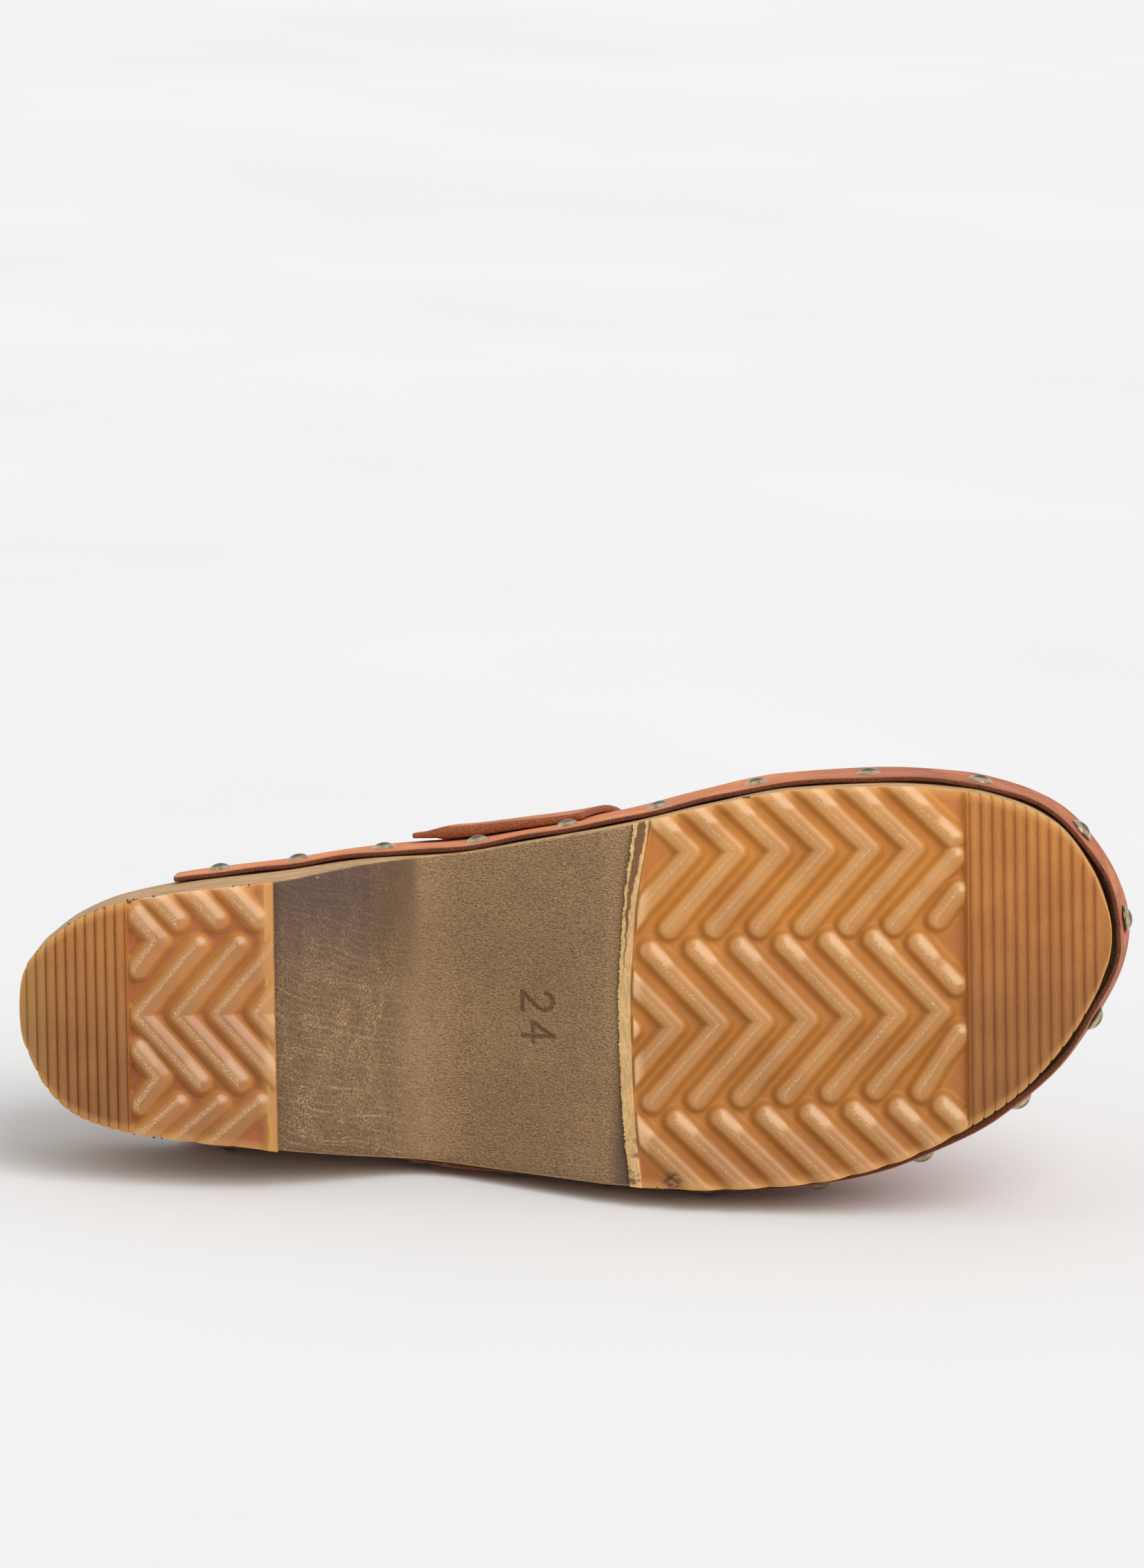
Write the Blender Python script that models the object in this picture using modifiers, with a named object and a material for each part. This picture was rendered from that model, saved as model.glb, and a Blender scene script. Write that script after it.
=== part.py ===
"""A left heeled clog lying on its outer side: wooden sole, two rubber pads, nailed leather upper, instep strap."""
import math

import bmesh
import bpy
import numpy as np
from mathutils import Euler, Matrix, Vector

# The shoe's own frame: x runs from the heel to the toe, y to the outer side of the foot, z up from the tread.
# Every size is in millimetres until a mesh is made.
MILLIMETRE = 0.001
INNER = -1
OUTER = 1

# Main sizes
LENGTH = 253.2
GAP = 0.3
LEATHER = 1.4
STRAP_THICKNESS = 2.8
SKIRT_HEIGHT = 14.0
PAD_THICKNESS = 4.5
TREAD_DEPTH = 2.2
TOE_SPRING = 8.0
SPRING_START = 185.0

# Edge of the tread seen from above
OUTLINE_COLUMNS = ("x", "inner_y", "outer_y")
OUTLINE_ROWS = (
    (0.0, -2.4, -2.4),
    (0.3, -7.6, 2.8),
    (2.1, -13.2, 8.4),
    (5.6, -16.9, 15.5),
    (12.0, -21.9, 22.0),
    (21.5, -26.0, 25.9),
    (36.0, -28.5, 28.6),
    (59.0, -30.8, 31.8),
    (80.0, -33.6, 35.2),
    (100.0, -35.0, 38.0),
    (120.0, -38.6, 39.8),
    (142.0, -42.8, 41.5),
    (160.0, -46.9, 42.2),
    (180.0, -50.2, 41.3),
    (200.0, -50.8, 37.2),
    (220.0, -49.1, 28.4),
    (231.0, -46.1, 21.3),
    (241.0, -40.6, 11.3),
    (249.0, -30.0, -0.7),
    (252.4, -19.5, -10.5),
    (253.2, -15.0, -15.0),
)

# Top edge of the wood: its height, how far it stands outside the tread, and how round it is
RIM_COLUMNS = ("x", "rim_z", "inner_flare", "outer_flare", "rounding", "bed_depth")
RIM_ROWS = (
    (0.0, 50.0, 0.3, 0.3, 7.0, 5.0),
    (20.0, 50.0, -0.8, 2.0, 7.0, 5.0),
    (46.0, 49.3, -0.2, 3.3, 3.5, 5.0),
    (65.0, 47.3, 0.0, 1.2, 2.5, 4.8),
    (84.0, 43.8, 0.2, -0.6, 2.5, 4.5),
    (106.0, 37.9, 0.0, -1.5, 2.5, 4.0),
    (127.0, 31.8, -0.4, -1.4, 2.5, 3.6),
    (149.0, 27.0, -0.5, -0.1, 2.5, 3.2),
    (171.0, 24.9, 0.0, 0.5, 2.5, 3.0),
    (197.0, 24.9, 0.5, 0.9, 2.5, 2.8),
    (223.0, 26.6, 0.9, 1.4, 2.5, 2.6),
    (253.2, 29.6, 1.5, 1.5, 2.5, 2.4),
)

# Underside of the wood above the plane of the pads: heel seat, breast, rounded arch, shank, ball
ARCH_COLUMNS = ("x", "rise")
ARCH_ROWS = (
    (-5.0, 0.0),
    (59.5, 0.0),
    (62.0, 0.8),
    (86.0, 16.6),
    (90.0, 18.9),
    (94.5, 19.8),
    (99.0, 19.3),
    (105.0, 16.9),
    (128.0, 4.3),
    (132.0, 2.2),
    (137.0, 0.0),
    (260.0, 0.0),
)

# Pads: the heel pad ends in a straight edge, the forefoot pad in a bowed and skived one
HEEL_PAD_FRONT = 59.0
HEEL_BORDER = 1.8
HEEL_BORDER_DEPTH = 1.2
FORE_PAD_BACK_COLUMNS = ("y", "x")
FORE_PAD_BACK_ROWS = ((-43.0, 142.6), (-22.0, 139.8), (0.0, 138.4), (21.0, 138.8), (41.0, 140.4))
SKIVE_LENGTH = 4.2
SKIVE_EDGE = 0.9
RIB_GROOVE_WIDTH = 0.6
RIB_GROOVE_DEPTH = 0.9
RIB_COLUMNS = ("pad", "first_x", "pitch", "count")
RIB_ROWS = (
    ("heel", 24.6, -2.3, 11),
    ("fore", 220.0, 2.65, 12),
)

# Tread lugs: each row is a run of bars or chevrons, a corner with one or two arms
LUG_BASE = 5.5
LUG_TOP = 1.3
LUG_OVERLAP = 0.4
LUG_CAP_STEPS = 4
LUG_COLUMNS = ("pad", "x", "y", "pitch_x", "pitch_y", "count", "first_arm", "second_arm")
LUG_ROWS = (
    ("heel", 27.6, -0.6, 9.2, 0.0, 4, (13.8, -15.8), (13.8, 15.8)),
    ("heel", 32.3, -17.9, 0.0, 0.0, 1, (-5.0, -6.0), (-5.0, 6.4)),
    ("heel", 32.2, 14.0, 0.0, 0.0, 1, (-5.0, -6.6), (-5.0, 6.2)),
    ("heel", 36.7, -22.5, 9.2, 0.0, 3, (-9.0, -10.0), None),
    ("heel", 36.3, 20.2, 9.3, 0.1, 3, (-12.0, 10.0), None),
    ("fore", 156.0, -36.4, 10.35, 0.0, 6, (-24.0, -24.0), (-16.0, 17.6)),
    ("fore", 216.4, -38.6, 0.0, 0.0, 1, (-20.0, -20.0), None),
    ("fore", 216.7, -34.4, 0.0, 0.0, 1, (-14.5, 15.6), None),
    ("fore", 217.4, -26.1, 0.0, 0.0, 1, (-4.8, 6.2), None),
    ("fore", 141.4, 4.4, 10.3, -0.4, 8, (-16.0, -17.2), (-16.0, 17.8)),
    ("fore", 216.6, -4.5, 0.0, 0.0, 1, (-8.8, -10.0), None),
    ("fore", 217.2, 6.8, 0.0, 0.0, 1, (-9.0, 13.2), None),
    ("fore", 141.0, 26.2, 10.3, -0.4, 8, (24.0, 24.0), None),
)

# Upper: wings that end beside the heel, an open throat over the instep and a round closed toe
WING_BACK = 34.6
THROAT_X = 105.0
TOE_POLE_X = 206.0
TOE_STAND_OFF = 2.0
STAND_OFF_START = {INNER: 0.72, OUTER: 0.48}
TOE_BULGE = 2.0
TOPLINE_SWEEP = 1.25
CROWN_BACK = 2.1
CROWN_TOE = 2.5
SIDE_FULLNESS_BACK = {INNER: 2.0, OUTER: 1.05}
SIDE_FULLNESS_TOE = 2.4
UPPER_STATIONS = 32
UPPER_ARCH_STEPS = 9
UPPER_SKIRT_STEPS = 2
SPINE_COLUMNS = ("x", "y", "z")
SPINE_ROWS = (
    (95.0, -6.0, 103.0),
    (105.0, -6.2, 99.5),
    (125.0, -6.8, 91.5),
    (150.0, -8.0, 80.5),
    (180.0, -9.8, 67.5),
    (206.0, -12.0, 57.5),
    (256.0, -15.0, 41.0),
)

# Strap across the instep, wider at its ends than on top
STRAP_COLUMNS = ("place", "back_x", "front_x")
STRAP_ROWS = (
    (0.0, 112.0, 146.0),
    (0.5, 107.0, 143.5),
    (0.85, 95.0, 137.0),
    (1.0, 91.0, 131.0),
)
STRAP_END = {INNER: 1.0, OUTER: 0.72}
STRAP_STEPS_ACROSS = 10
STRAP_STEPS_ALONG = 6
STRAP_LIFT = 2.4

# Nail heads along the upper's lower edge
STUD_DIAMETER = 6.3
STUD_HEIGHT = 1.7
STUD_ABOVE_EDGE = 5.6
STUD_ARC_STEPS = 3
STUD_SEGMENTS = 12
STUD_COLUMNS = ("side", "x")
STUD_ROWS = (
    (INNER, 45.0),
    (INNER, 63.8),
    (INNER, 84.0),
    (INNER, 106.3),
    (INNER, 127.5),
    (INNER, 149.0),
    (INNER, 171.8),
    (INNER, 197.6),
    (INNER, 223.2),
    (INNER, 244.8),
    (INNER, 253.1),
    (OUTER, 246.5),
    (OUTER, 230.3),
    (OUTER, 208.2),
    (OUTER, 184.4),
    (OUTER, 158.6),
    (OUTER, 135.5),
    (OUTER, 112.7),
    (OUTER, 91.0),
    (OUTER, 70.5),
    (OUTER, 46.5),
)

# Lying position: turned in the sole's plane, then rolled onto the outer side
LIE_SWING_DEGREES = -3.375
LIE_ROLL_DEGREES = -96.606

WOOD_STATIONS = 44
BED_STEPS = 8
PRISM_STATIONS = 72


def table_column(rows, columns, name):
    """One named column of a table."""
    index = columns.index(name)
    return [row[index] for row in rows]


def smooth_curve(places, values):
    """A smooth curve through the given values that never overshoots them."""
    places = np.array(places, dtype=float)
    values = np.array(values, dtype=float)
    runs = np.diff(places)
    rises = np.diff(values) / runs
    slopes = np.zeros(len(places))
    slopes[0] = rises[0]
    slopes[-1] = rises[-1]
    for i in range(1, len(places) - 1):
        if rises[i - 1] * rises[i] > 0.0:
            slopes[i] = 2.0 * rises[i - 1] * rises[i] / (rises[i - 1] + rises[i])

    def value(place):
        i = int(np.clip(np.searchsorted(places, place) - 1, 0, len(runs) - 1))
        s = min(max((place - places[i]) / runs[i], 0.0), 1.0)
        start = (1.0 + 2.0 * s) * (1.0 - s) ** 2 * values[i] + s * (1.0 - s) ** 2 * runs[i] * slopes[i]
        end = s * s * (3.0 - 2.0 * s) * values[i + 1] + s * s * (s - 1.0) * runs[i] * slopes[i + 1]
        return start + end

    return value


def smooth_column(rows, columns, place_name, value_name):
    """A smooth curve through one column of a table, read along another."""
    return smooth_curve(table_column(rows, columns, place_name), table_column(rows, columns, value_name))


def turn_of(x):
    """Station for a distance along the shoe: 0 at the heel's back, 1 at the toe, crowded at both ends."""
    return math.acos(min(max(1.0 - 2.0 * x / LENGTH, -1.0), 1.0)) / math.pi


def x_of(turn):
    """Distance along the shoe of a station."""
    return LENGTH * (1.0 - math.cos(math.pi * turn)) / 2.0


def blend(start, end, share):
    """Value between start and end."""
    return start + (end - start) * share


OUTLINE_TURNS = [turn_of(x) for x in table_column(OUTLINE_ROWS, OUTLINE_COLUMNS, "x")]
EDGE_Y = {
    INNER: smooth_curve(OUTLINE_TURNS, table_column(OUTLINE_ROWS, OUTLINE_COLUMNS, "inner_y")),
    OUTER: smooth_curve(OUTLINE_TURNS, table_column(OUTLINE_ROWS, OUTLINE_COLUMNS, "outer_y")),
}
FLARE = {
    INNER: smooth_column(RIM_ROWS, RIM_COLUMNS, "x", "inner_flare"),
    OUTER: smooth_column(RIM_ROWS, RIM_COLUMNS, "x", "outer_flare"),
}
RIM_Z = smooth_column(RIM_ROWS, RIM_COLUMNS, "x", "rim_z")
ROUNDING = smooth_column(RIM_ROWS, RIM_COLUMNS, "x", "rounding")
BED_DEPTH = smooth_column(RIM_ROWS, RIM_COLUMNS, "x", "bed_depth")
ARCH_RISE = smooth_column(ARCH_ROWS, ARCH_COLUMNS, "x", "rise")
SPINE_Y = smooth_column(SPINE_ROWS, SPINE_COLUMNS, "x", "y")
SPINE_Z = smooth_column(SPINE_ROWS, SPINE_COLUMNS, "x", "z")
FORE_PAD_BACK = smooth_column(FORE_PAD_BACK_ROWS, FORE_PAD_BACK_COLUMNS, "y", "x")
STRAP_BACK = smooth_column(STRAP_ROWS, STRAP_COLUMNS, "place", "back_x")
STRAP_FRONT = smooth_column(STRAP_ROWS, STRAP_COLUMNS, "place", "front_x")


def outline(turn, side, grow=0.0):
    """Plan point on the tread's edge, moved outwards by grow."""
    step = 0.002
    if turn <= 0.0:
        outward = Vector((-1.0, 0.0))
    elif turn >= 1.0:
        outward = Vector((1.0, 0.0))
    else:
        before = max(turn - step, 0.0)
        after = min(turn + step, 1.0)
        run = Vector((x_of(after) - x_of(before), EDGE_Y[side](after) - EDGE_Y[side](before)))
        outward = Vector((-run.y, run.x)).normalized() * side
    return Vector((x_of(turn), EDGE_Y[side](turn))) + outward * grow


def spring(x):
    """Lift of the toe off the floor."""
    share = max(0.0, (x - SPRING_START) / (LENGTH - SPRING_START))
    return TOE_SPRING * share * share


def wood_bottom(x):
    """Height of the wood's underside."""
    return PAD_THICKNESS + GAP + spring(x) + ARCH_RISE(x)


def mesh_object(name, mesh_maker, collection):
    """Make an object from a bmesh built in millimetres."""
    mesh = bpy.data.meshes.new(name)
    mesh_maker.transform(Matrix.Scale(MILLIMETRE, 4))
    mesh_maker.to_mesh(mesh)
    mesh_maker.free()
    made = bpy.data.objects.new(name, mesh)
    collection.objects.link(made)
    return made


def material(name, colour, roughness, metallic=0.0):
    """A plain material in the piece's colour."""
    made = bpy.data.materials.new(name)
    made.use_nodes = True
    shader = made.node_tree.nodes["Principled BSDF"]
    shader.inputs["Base Color"].default_value = (*colour, 1.0)
    shader.inputs["Roughness"].default_value = roughness
    shader.inputs["Metallic"].default_value = metallic
    return made


# Wooden sole


def wood_wall(turn, side):
    """Points up one side of the wood, from the bottom edge to the rim's crest."""
    foot = outline(turn, side)
    points = [Vector((foot.x, foot.y, wood_bottom(foot.x)))]
    for turned in (0.0, 45.0, 90.0):
        rounding = ROUNDING(foot.x)
        inset = rounding * (1.0 - math.cos(math.radians(turned)))
        drop = rounding * (1.0 - math.sin(math.radians(turned)))
        plan = outline(turn, side, FLARE[side](foot.x) - inset)
        points.append(Vector((plan.x, plan.y, RIM_Z(plan.x) - drop)))
    return points


def wood_ring(turn):
    """Points round one section of the wood: bottom, outer wall, hollow footbed, inner wall."""
    inner_wall = wood_wall(turn, INNER)
    outer_wall = wood_wall(turn, OUTER)
    inner_crest = inner_wall[-1]
    outer_crest = outer_wall[-1]
    width = (outer_crest - inner_crest).length
    depth = BED_DEPTH(inner_crest.x) * min(1.0, width / 45.0) ** 2
    bed = []
    for i in range(1, BED_STEPS):
        share = i / BED_STEPS
        point = outer_crest.lerp(inner_crest, share)
        point.z -= depth * (1.0 - abs(2.0 * share - 1.0) ** 3)
        bed.append(point)
    return [inner_wall[0], *outer_wall, *bed, *reversed(inner_wall[1:])]


def loft(rings):
    """Skin closed rings whose end rings have shrunk to a line."""
    mesh_maker = bmesh.new()
    rows = [[mesh_maker.verts.new(point) for point in ring] for ring in rings]
    count = len(rings[0])
    for low, high in zip(rows, rows[1:]):
        for i in range(count):
            j = (i + 1) % count
            mesh_maker.faces.new((low[i], low[j], high[j], high[i]))
    bmesh.ops.remove_doubles(mesh_maker, verts=mesh_maker.verts[:], dist=0.01)
    bmesh.ops.triangulate(mesh_maker, faces=mesh_maker.faces[:])
    bmesh.ops.recalc_face_normals(mesh_maker, faces=mesh_maker.faces[:])
    return mesh_maker


def make_wood_sole(collection):
    """The one-block sole with heel, arch and hollow footbed."""
    turns = {round(i / WOOD_STATIONS, 4) for i in range(WOOD_STATIONS + 1)}
    for x in table_column(ARCH_ROWS, ARCH_COLUMNS, "x")[1:-1]:
        nearest = min(turns, key=lambda turn: abs(x_of(turn) - x))
        turns.discard(nearest)
        turns.add(turn_of(x))
    return mesh_object("wood_sole", loft([wood_ring(turn) for turn in sorted(turns)]), collection)


# Rubber pads


def prism(plan, low, high):
    """Upright solid on a plan outline."""
    mesh_maker = bmesh.new()
    face = mesh_maker.faces.new([mesh_maker.verts.new((point[0], point[1], low)) for point in plan])
    extruded = bmesh.ops.extrude_face_region(mesh_maker, geom=[face])
    raised = [item for item in extruded["geom"] if isinstance(item, bmesh.types.BMVert)]
    bmesh.ops.translate(mesh_maker, verts=raised, vec=(0.0, 0.0, high - low))
    bmesh.ops.recalc_face_normals(mesh_maker, faces=mesh_maker.faces[:])
    return mesh_maker


def slab(profile, half_width):
    """Solid that keeps one side profile across its whole width."""
    mesh_maker = bmesh.new()
    face = mesh_maker.faces.new([mesh_maker.verts.new((x, -half_width, z)) for x, z in profile])
    extruded = bmesh.ops.extrude_face_region(mesh_maker, geom=[face])
    moved = [item for item in extruded["geom"] if isinstance(item, bmesh.types.BMVert)]
    bmesh.ops.translate(mesh_maker, verts=moved, vec=(0.0, 2.0 * half_width, 0.0))
    bmesh.ops.recalc_face_normals(mesh_maker, faces=mesh_maker.faces[:])
    return mesh_maker


def rib_profile(pad, start, end):
    """Tread line across the ribs between two distances, with its narrow grooves."""
    row = RIB_ROWS[table_column(RIB_ROWS, RIB_COLUMNS, "pad").index(pad)]
    first, pitch, count = row[1:]
    half = RIB_GROOVE_WIDTH / 2.0
    line = [(start, spring(start))]
    for middle in sorted(first + pitch * i for i in range(count)):
        if start + half < middle < end - half:
            line.append((middle - half, spring(middle)))
            line.append((middle, spring(middle) + RIB_GROOVE_DEPTH))
            line.append((middle + half, spring(middle)))
    line.append((end, spring(end)))
    return line


def ribbon_loop(path, radius):
    """Plan outline of a path widened to both sides, with round ends and mitred corners."""
    runs = [(b - a).normalized() for a, b in zip(path, path[1:])]
    sides = [Vector((-run.y, run.x)) for run in runs]
    corners = [(a + b) / (1.0 + a.dot(b)) for a, b in zip(sides, sides[1:])]
    middle = list(zip(path[1:-1], corners))
    loop = [path[0] + sides[0] * radius]
    loop += [point + corner * radius for point, corner in middle]
    for i in range(LUG_CAP_STEPS + 1):
        angle = math.pi * i / LUG_CAP_STEPS
        loop.append(path[-1] + (sides[-1] * math.cos(angle) + runs[-1] * math.sin(angle)) * radius)
    loop += [point - corner * radius for point, corner in reversed(middle)]
    for i in range(LUG_CAP_STEPS):
        angle = math.pi * i / LUG_CAP_STEPS
        loop.append(path[0] - (sides[0] * math.cos(angle) + runs[0] * math.sin(angle)) * radius)
    return loop


def add_lug(mesh_maker, path):
    """Add one raised bar or chevron that narrows towards the floor."""
    top = [(p.x, p.y, spring(p.x)) for p in ribbon_loop(path, LUG_TOP / 2.0)]
    base = [(p.x, p.y, spring(p.x) + TREAD_DEPTH + LUG_OVERLAP) for p in ribbon_loop(path, LUG_BASE / 2.0)]
    top_verts = [mesh_maker.verts.new(point) for point in top]
    base_verts = [mesh_maker.verts.new(point) for point in base]
    count = len(top)
    for i in range(count):
        j = (i + 1) % count
        mesh_maker.faces.new((top_verts[i], top_verts[j], base_verts[j], base_verts[i]))
    mesh_maker.faces.new(top_verts)
    mesh_maker.faces.new(base_verts)


def lug_paths(pad):
    """Centre lines of a pad's lugs."""
    for row in LUG_ROWS:
        owner, x, y, pitch_x, pitch_y, count, first_arm, second_arm = row
        if owner != pad:
            continue
        for i in range(count):
            corner = Vector((x + pitch_x * i, y + pitch_y * i))
            path = [corner + Vector(first_arm), corner]
            if second_arm:
                path.append(corner + Vector(second_arm))
            yield path


def make_lugs(pad, collection):
    """All lugs of a pad as one cutter."""
    mesh_maker = bmesh.new()
    for path in lug_paths(pad):
        add_lug(mesh_maker, path)
    bmesh.ops.remove_doubles(mesh_maker, verts=mesh_maker.verts[:], dist=0.01)
    bmesh.ops.recalc_face_normals(mesh_maker, faces=mesh_maker.faces[:])
    return mesh_object(pad + "_lugs", mesh_maker, collection)


def add_boolean(target, cutter, operation):
    """Join or cut a piece with a cutter."""
    modifier = target.modifiers.new(cutter.name, "BOOLEAN")
    modifier.operation = operation
    modifier.solver = "EXACT"
    modifier.use_self = True
    modifier.object = cutter


def edge_run(side, start, end):
    """Plan points along one edge of the tread between two distances."""
    turns = [i / PRISM_STATIONS for i in range(PRISM_STATIONS + 1)]
    kept = [turn for turn in turns if turn_of(start) + 0.002 < turn < turn_of(end) - 0.002]
    return [outline(turn, side) for turn in (turn_of(start), *kept, turn_of(end))]


def make_pad(name, profile, plan, lug_zone, collection, cutters):
    """A rubber pad: ribbed slab joined with its lugs and trimmed to the sole's edge."""
    pad = name.split("_")[0]
    lugs = make_lugs(pad, cutters)
    zone = mesh_object(pad + "_lug_zone", prism(lug_zone, -10.0, 40.0), cutters)
    trim = mesh_object(pad + "_trim", prism(plan, -10.0, 40.0), cutters)
    made = mesh_object(name, slab(profile, 70.0), collection)
    add_boolean(lugs, zone, "INTERSECT")
    add_boolean(made, lugs, "UNION")
    add_boolean(made, trim, "INTERSECT")
    return made


def make_heel_pad(collection, cutters):
    """Heel pad with ribs at the back, chevrons and a plain border at the front."""
    ribs_end = RIB_ROWS[0][1]
    border = HEEL_PAD_FRONT - HEEL_BORDER
    tread = rib_profile("heel", -4.0, ribs_end)
    floor = [(ribs_end + 0.3, TREAD_DEPTH), (border - 0.4, TREAD_DEPTH)]
    front = [(border, HEEL_BORDER_DEPTH), (HEEL_PAD_FRONT + 4.0, HEEL_BORDER_DEPTH)]
    top = [(HEEL_PAD_FRONT + 4.0, PAD_THICKNESS), (-4.0, PAD_THICKNESS)]
    plan = list(reversed(edge_run(INNER, 0.0, HEEL_PAD_FRONT)))
    plan += edge_run(OUTER, 0.0, HEEL_PAD_FRONT)[1:]
    zone = [(ribs_end - 5.0, -60.0), (border, -60.0), (border, 60.0), (ribs_end - 5.0, 60.0)]
    return make_pad("heel_pad", tread + floor + front + top, plan, zone, collection, cutters)


def make_fore_pad(collection, cutters):
    """Forefoot pad with chevrons, ribs at the toe, and a skived back edge."""
    ribs_start = RIB_ROWS[1][1]
    back = min(table_column(FORE_PAD_BACK_ROWS, FORE_PAD_BACK_COLUMNS, "x"))
    skive_end = back + SKIVE_LENGTH
    bends = [blend(SPRING_START, ribs_start - 1.0, i / 5.0) for i in range(6)]
    tread = [(back - 4.0, PAD_THICKNESS - SKIVE_EDGE), (back, PAD_THICKNESS - SKIVE_EDGE)]
    tread.append((skive_end, TREAD_DEPTH))
    tread += [(x, spring(x) + TREAD_DEPTH) for x in bends]
    tread += rib_profile("fore", ribs_start - 0.5, LENGTH + 4.0)
    ends = [blend(LENGTH + 4.0, SPRING_START, i / 12.0) for i in range(13)]
    top = [(x, spring(x) + PAD_THICKNESS) for x in ends]
    top.append((back - 4.0, PAD_THICKNESS))
    inner_y, outer_y = FORE_PAD_BACK_ROWS[0][0], FORE_PAD_BACK_ROWS[-1][0]
    inner_back, outer_back = FORE_PAD_BACK(inner_y), FORE_PAD_BACK(outer_y)
    bow = [(FORE_PAD_BACK(y), y) for y in np.linspace(outer_y, inner_y, 9)[1:-1]]
    plan = edge_run(INNER, inner_back, LENGTH)
    plan += list(reversed(edge_run(OUTER, outer_back, LENGTH)))[1:]
    plan += bow
    zone = [(FORE_PAD_BACK(y) + SKIVE_LENGTH, y) for y in np.linspace(60.0, -60.0, 13)]
    zone += [(ribs_start + 2.0, -60.0), (ribs_start + 2.0, 60.0)]
    return make_pad("fore_pad", tread + top, plan, zone, collection, cutters)


# Leather upper


def wall_grow(x, z, side):
    """How far the wood's wall stands outside the tread at a height."""
    low = wood_bottom(x)
    high = RIM_Z(x) - ROUNDING(x)
    return FLARE[side](x) * min(max((z - low) / (high - low), 0.0), 1.0)


def stand_off(front, side):
    """Space between wood and leather, wider round the toe."""
    start = STAND_OFF_START[side]
    share = max(0.0, (front - start) / (1.0 - start))
    return GAP + TOE_STAND_OFF * share * share * (3.0 - 2.0 * share)


def upper_turn(front):
    """Station on the sole's edge for a share of the way from the wing's end to the toe."""
    return blend(turn_of(WING_BACK), 1.0, front)


def skirt_point(front, side, drop):
    """Point of the upper's inner face beside the wood, a drop below the rim."""
    turn = upper_turn(front)
    x = x_of(turn)
    z = RIM_Z(x) - drop
    plan = outline(turn, side, wall_grow(x, z, side) + stand_off(front, side))
    return Vector((plan.x, plan.y, z))


def arch_point(front, side, place):
    """Point of the upper's inner face above the rim: place 0 on the spine, 1 on the rim."""
    turn = upper_turn(front)
    rim_x = x_of(turn)
    crown = blend(CROWN_BACK, CROWN_TOE, front)
    fullness = blend(SIDE_FULLNESS_BACK[side], SIDE_FULLNESS_TOE, front)
    reach = math.sin(place * math.pi / 2.0)
    height = max(0.0, 1.0 - reach ** crown) ** (1.0 / fullness)
    bulge = TOE_BULGE * front * 4.0 * height * (1.0 - height)
    edge = outline(turn, side, FLARE[side](rim_x) + stand_off(front, side) + bulge)
    spine_x = blend(THROAT_X, TOE_POLE_X, front)
    back_sweep = (1.0 - height) ** TOPLINE_SWEEP
    sweep = blend(back_sweep, reach, min(1.0, front * 1.6))
    x = blend(spine_x, edge.x, sweep)
    y = blend(SPINE_Y(spine_x), edge.y, reach)
    z = blend(RIM_Z(rim_x), SPINE_Z(x), height)
    return Vector((x, y, z))


def upper_point(front, side, place):
    """Point of the upper's inner face: place 0 on the spine, 1 on the rim, 2 at the lower edge."""
    if place <= 1.0:
        return arch_point(front, side, place)
    return skirt_point(front, side, (place - 1.0) * SKIRT_HEIGHT)


def upper_normal(front, side, place):
    """Outward direction of the upper's face."""
    step = 0.01
    low = max(front - step, 0.0)
    high = min(front + step, 1.0)
    along = upper_point(high, side, place) - upper_point(low, side, place)
    across = upper_point(front, side, min(place + step, 2.0)) - upper_point(front, side, max(place - step, 0.0))
    return along.cross(across).normalized() * side


def skin_grid(rows, closed_joint):
    """Join rows of points into one open surface."""
    mesh_maker = bmesh.new()
    made = [[mesh_maker.verts.new(point) for point in row] for row in rows]
    for low, high in zip(made, made[1:]):
        for i in range(len(low) - 1):
            mesh_maker.faces.new((low[i], high[i], high[i + 1], low[i + 1]))
    if closed_joint:
        bmesh.ops.remove_doubles(mesh_maker, verts=mesh_maker.verts[:], dist=0.01)
    return mesh_maker


def add_wall(target, thickness):
    """Thicken an open surface outwards."""
    modifier = target.modifiers.new("wall", "SOLIDIFY")
    modifier.thickness = thickness * MILLIMETRE
    modifier.offset = 1.0
    modifier.use_even_offset = True
    modifier.use_quality_normals = True


def make_upper(collection):
    """The leather upper, from the lower edge of one side over the instep to the other."""
    skirt = [2.0 - i / UPPER_SKIRT_STEPS for i in range(UPPER_SKIRT_STEPS)]
    arch = [1.0 - i / UPPER_ARCH_STEPS for i in range(UPPER_ARCH_STEPS + 1)]
    places = [(INNER, place) for place in skirt + arch]
    places += [(OUTER, place) for place in reversed(skirt + arch[:-1])]
    rows = []
    for i in range(UPPER_STATIONS + 1):
        front = i / UPPER_STATIONS
        rows.append([upper_point(front, side, place) for side, place in places])
    made = mesh_object("upper", skin_grid(rows, True), collection)
    add_wall(made, LEATHER)
    return made


# Strap


def front_at(x, side, place):
    """Share of the upper's length at which a place on it reaches a distance along the shoe."""
    low, high = 0.0, 1.0
    for _ in range(40):
        middle = (low + high) / 2.0
        if upper_point(middle, side, place).x < x:
            low = middle
        else:
            high = middle
    return (low + high) / 2.0


def strap_point(side, place, along):
    """Point of the strap's inner face, lying on the leather and lifting at its inner back corner."""
    x = blend(STRAP_BACK(place), STRAP_FRONT(place), along)
    front = front_at(x, side, place)
    lift = STRAP_LIFT * (1.0 - along) ** 2 * place ** 4 if side == INNER else 0.0
    return upper_point(front, side, place) + upper_normal(front, side, place) * (LEATHER + GAP + lift)


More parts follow.
